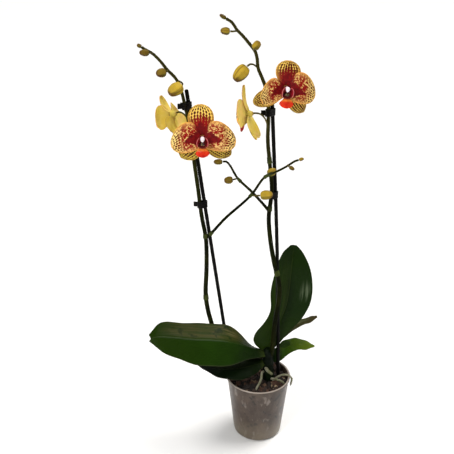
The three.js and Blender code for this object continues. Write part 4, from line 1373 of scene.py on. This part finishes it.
def lipShape():
    front = receptacle["front"] - gap
    margin = vectors([(half, front - forward, height) for half, forward, height, _, _ in lipStations])
    middle = vectors([(0, front - forward, height) for *_, forward, height in lipStations])

    def middleAt(along, across):
        edge, rib = curvePoint(margin, along), curvePoint(middle, along)
        place = rib.lerp(edge, across ** 2)
        keel = lip["keel"] * mm * math.exp(-(across * 5) ** 2) * math.sin(math.pi * along)
        crinkle = lip["crinkle"] * mm * math.sin(26 * along + 3 * abs(across)) * abs(across)
        return Vector((edge.x * across, place.y - keel + crinkle, place.z))

    def sideAt(sign):
        def placeAt(along, across):
            reach = (1 - math.cos(math.pi * along)) / 2
            half = sideLobe["half"] + sideLobe["swell"] * max(math.sin(math.pi * along ** 1.1), 0) ** 0.8
            bulge = sideLobe["bulge"] * math.sin(0.9 * math.pi * reach) - sideLobe["close"] * reach ** 2
            out = sideLobe["aside"] + bulge + sideLobe["flare"] * max(0, -across) ** 2
            forward = sideLobe["forward"] + sideLobe["lean"] * reach - across * half
            level = sideLobe["low"] + sideLobe["height"] * reach
            return Vector((sign * out, front - forward, level)) * mm
        return placeAt
    lobes = [sheet("middle", 20, 12, middleAt), *[sheet("side", 12, 8, sideAt(sign)) for sign in (1, -1)]]
    for lobe, paint in zip(lobes, (lipPaint(), *[sideLobePaint()] * 2)):
        paintWith(lobe, paint)
        modify(lobe, "SOLIDIFY", thickness=lip["thickness"] * mm, offset=0)
        smoothen(lobe, 2)
    line = vectors([(0, front - forward, level) for forward, level in lip["clawLine"]])
    claw = tube("claw", line, [lip["claw"] * mm] * len(line), 5)
    paintWith(claw, lobes[0].data.materials[0])
    callus = turnedShape("callus", roundProfile(1), 20, 12, (90, 270), 0.6)
    forward, level = lip["callusAt"]
    wide, deep, high = vectors([lip["callus"]])[0]
    place = Matrix.Translation(Vector((0, front - forward, level)) * mm)
    callus.data.transform(place @ Matrix.Diagonal((wide / 2, deep / 2, high, 1)))
    paintWith(callus, callusPaint())
    smoothen(callus, 1)
    return joined([*lobes, claw, callus], "lip")


def columnShape():
    front = receptacle["front"] - gap
    swell = column["swell"]
    spans = len(swell) - 1

    def profile(along):
        number = min(int(along * spans), spans - 1)
        return swell[number] + (swell[number + 1] - swell[number]) * (along * spans - number)
    body = turnedShape("column", profile, 20, 20)
    foot, tip = column["heights"]
    ends = vectors([(0, front, foot), (0, front - column["length"], tip)])
    body.data.transform(standing(*ends, 2 * column["radius"] * mm))
    cap = turnedShape("cap", roundProfile(0.8), 16, 10, (270,), 0.85)
    ends = vectors([(0, front - forward, level) for forward, level in column["capEnds"]])
    cap.data.transform(standing(*ends, column["cap"] * mm))
    smoothen(body, 1)
    smoothen(cap, 1)
    piece = joined([body, cap], "column")
    paintWith(piece, columnPaint())
    return piece


def cupProfile(along):  # straight in front, then tapering to the pedicel
    return 1 - receptacle["taper"] * max(0, along - receptacle["straight"])


def makeBlooms():
    shapes = {name: tepalShape(name, look) for name, look in tepals.items()}
    back, cupTone = tepalBackPaint(), cupPaint()
    for name, shape in shapes.items():
        paintWith(shape, tepalPaint(name, tepals[name]), back)
    ripple = bpy.data.textures.new("ripple", "CLOUDS")
    ripple.noise_scale = tepalGrid["grain"]
    units = {"lip": lipShape(), "column": columnShape()}
    number = 0
    for name, bloom in blooms.items():
        place = bloomFrame(bloom)
        parts = []
        for part in ("dorsal", "lateralRight", "lateralLeft", "petalRight", "petalLeft"):
            kind = part.replace("Right", "").replace("Left", "")
            parts.append(layTepal(shapes[kind], bloom[part], number, part.endswith("Left"), ripple))
            number += 1
        cup = turnedShape("receptacle", cupProfile, 16, 10)
        ends = vectors([(0, receptacle[end], 0) for end in ("front", "back")])
        cup.data.transform(standing(*ends, 2 * receptacle["radius"] * mm))
        paintWith(cup, cupTone)
        piece = joined([*parts, cup], "tepals")
        piece.data.transform(place)
        putIn(piece, "bloom_" + name, "tepals_" + name, "petal", 70)
        for slot, unit in units.items():
            putIn(copyOf(unit, place), f"bloom_{slot}_{name}", f"{slot}_{name}", slot, 60)
    for shape in (*shapes.values(), *units.values()):
        bpy.data.objects.remove(shape)


makePot()
print("the pot is made")
makeBark()
print("the bark is made")
makeLeaves()
print("the leaves are made")
makeCrown()
makeRoots()
print("the crown and the roots are made")
makeSpikes()
makeBuds()
print("the spikes and the buds are made")
makeStakes()
makeClips()
print("the stakes and the clips are made")
makeBlooms()
print("the blooms are made")
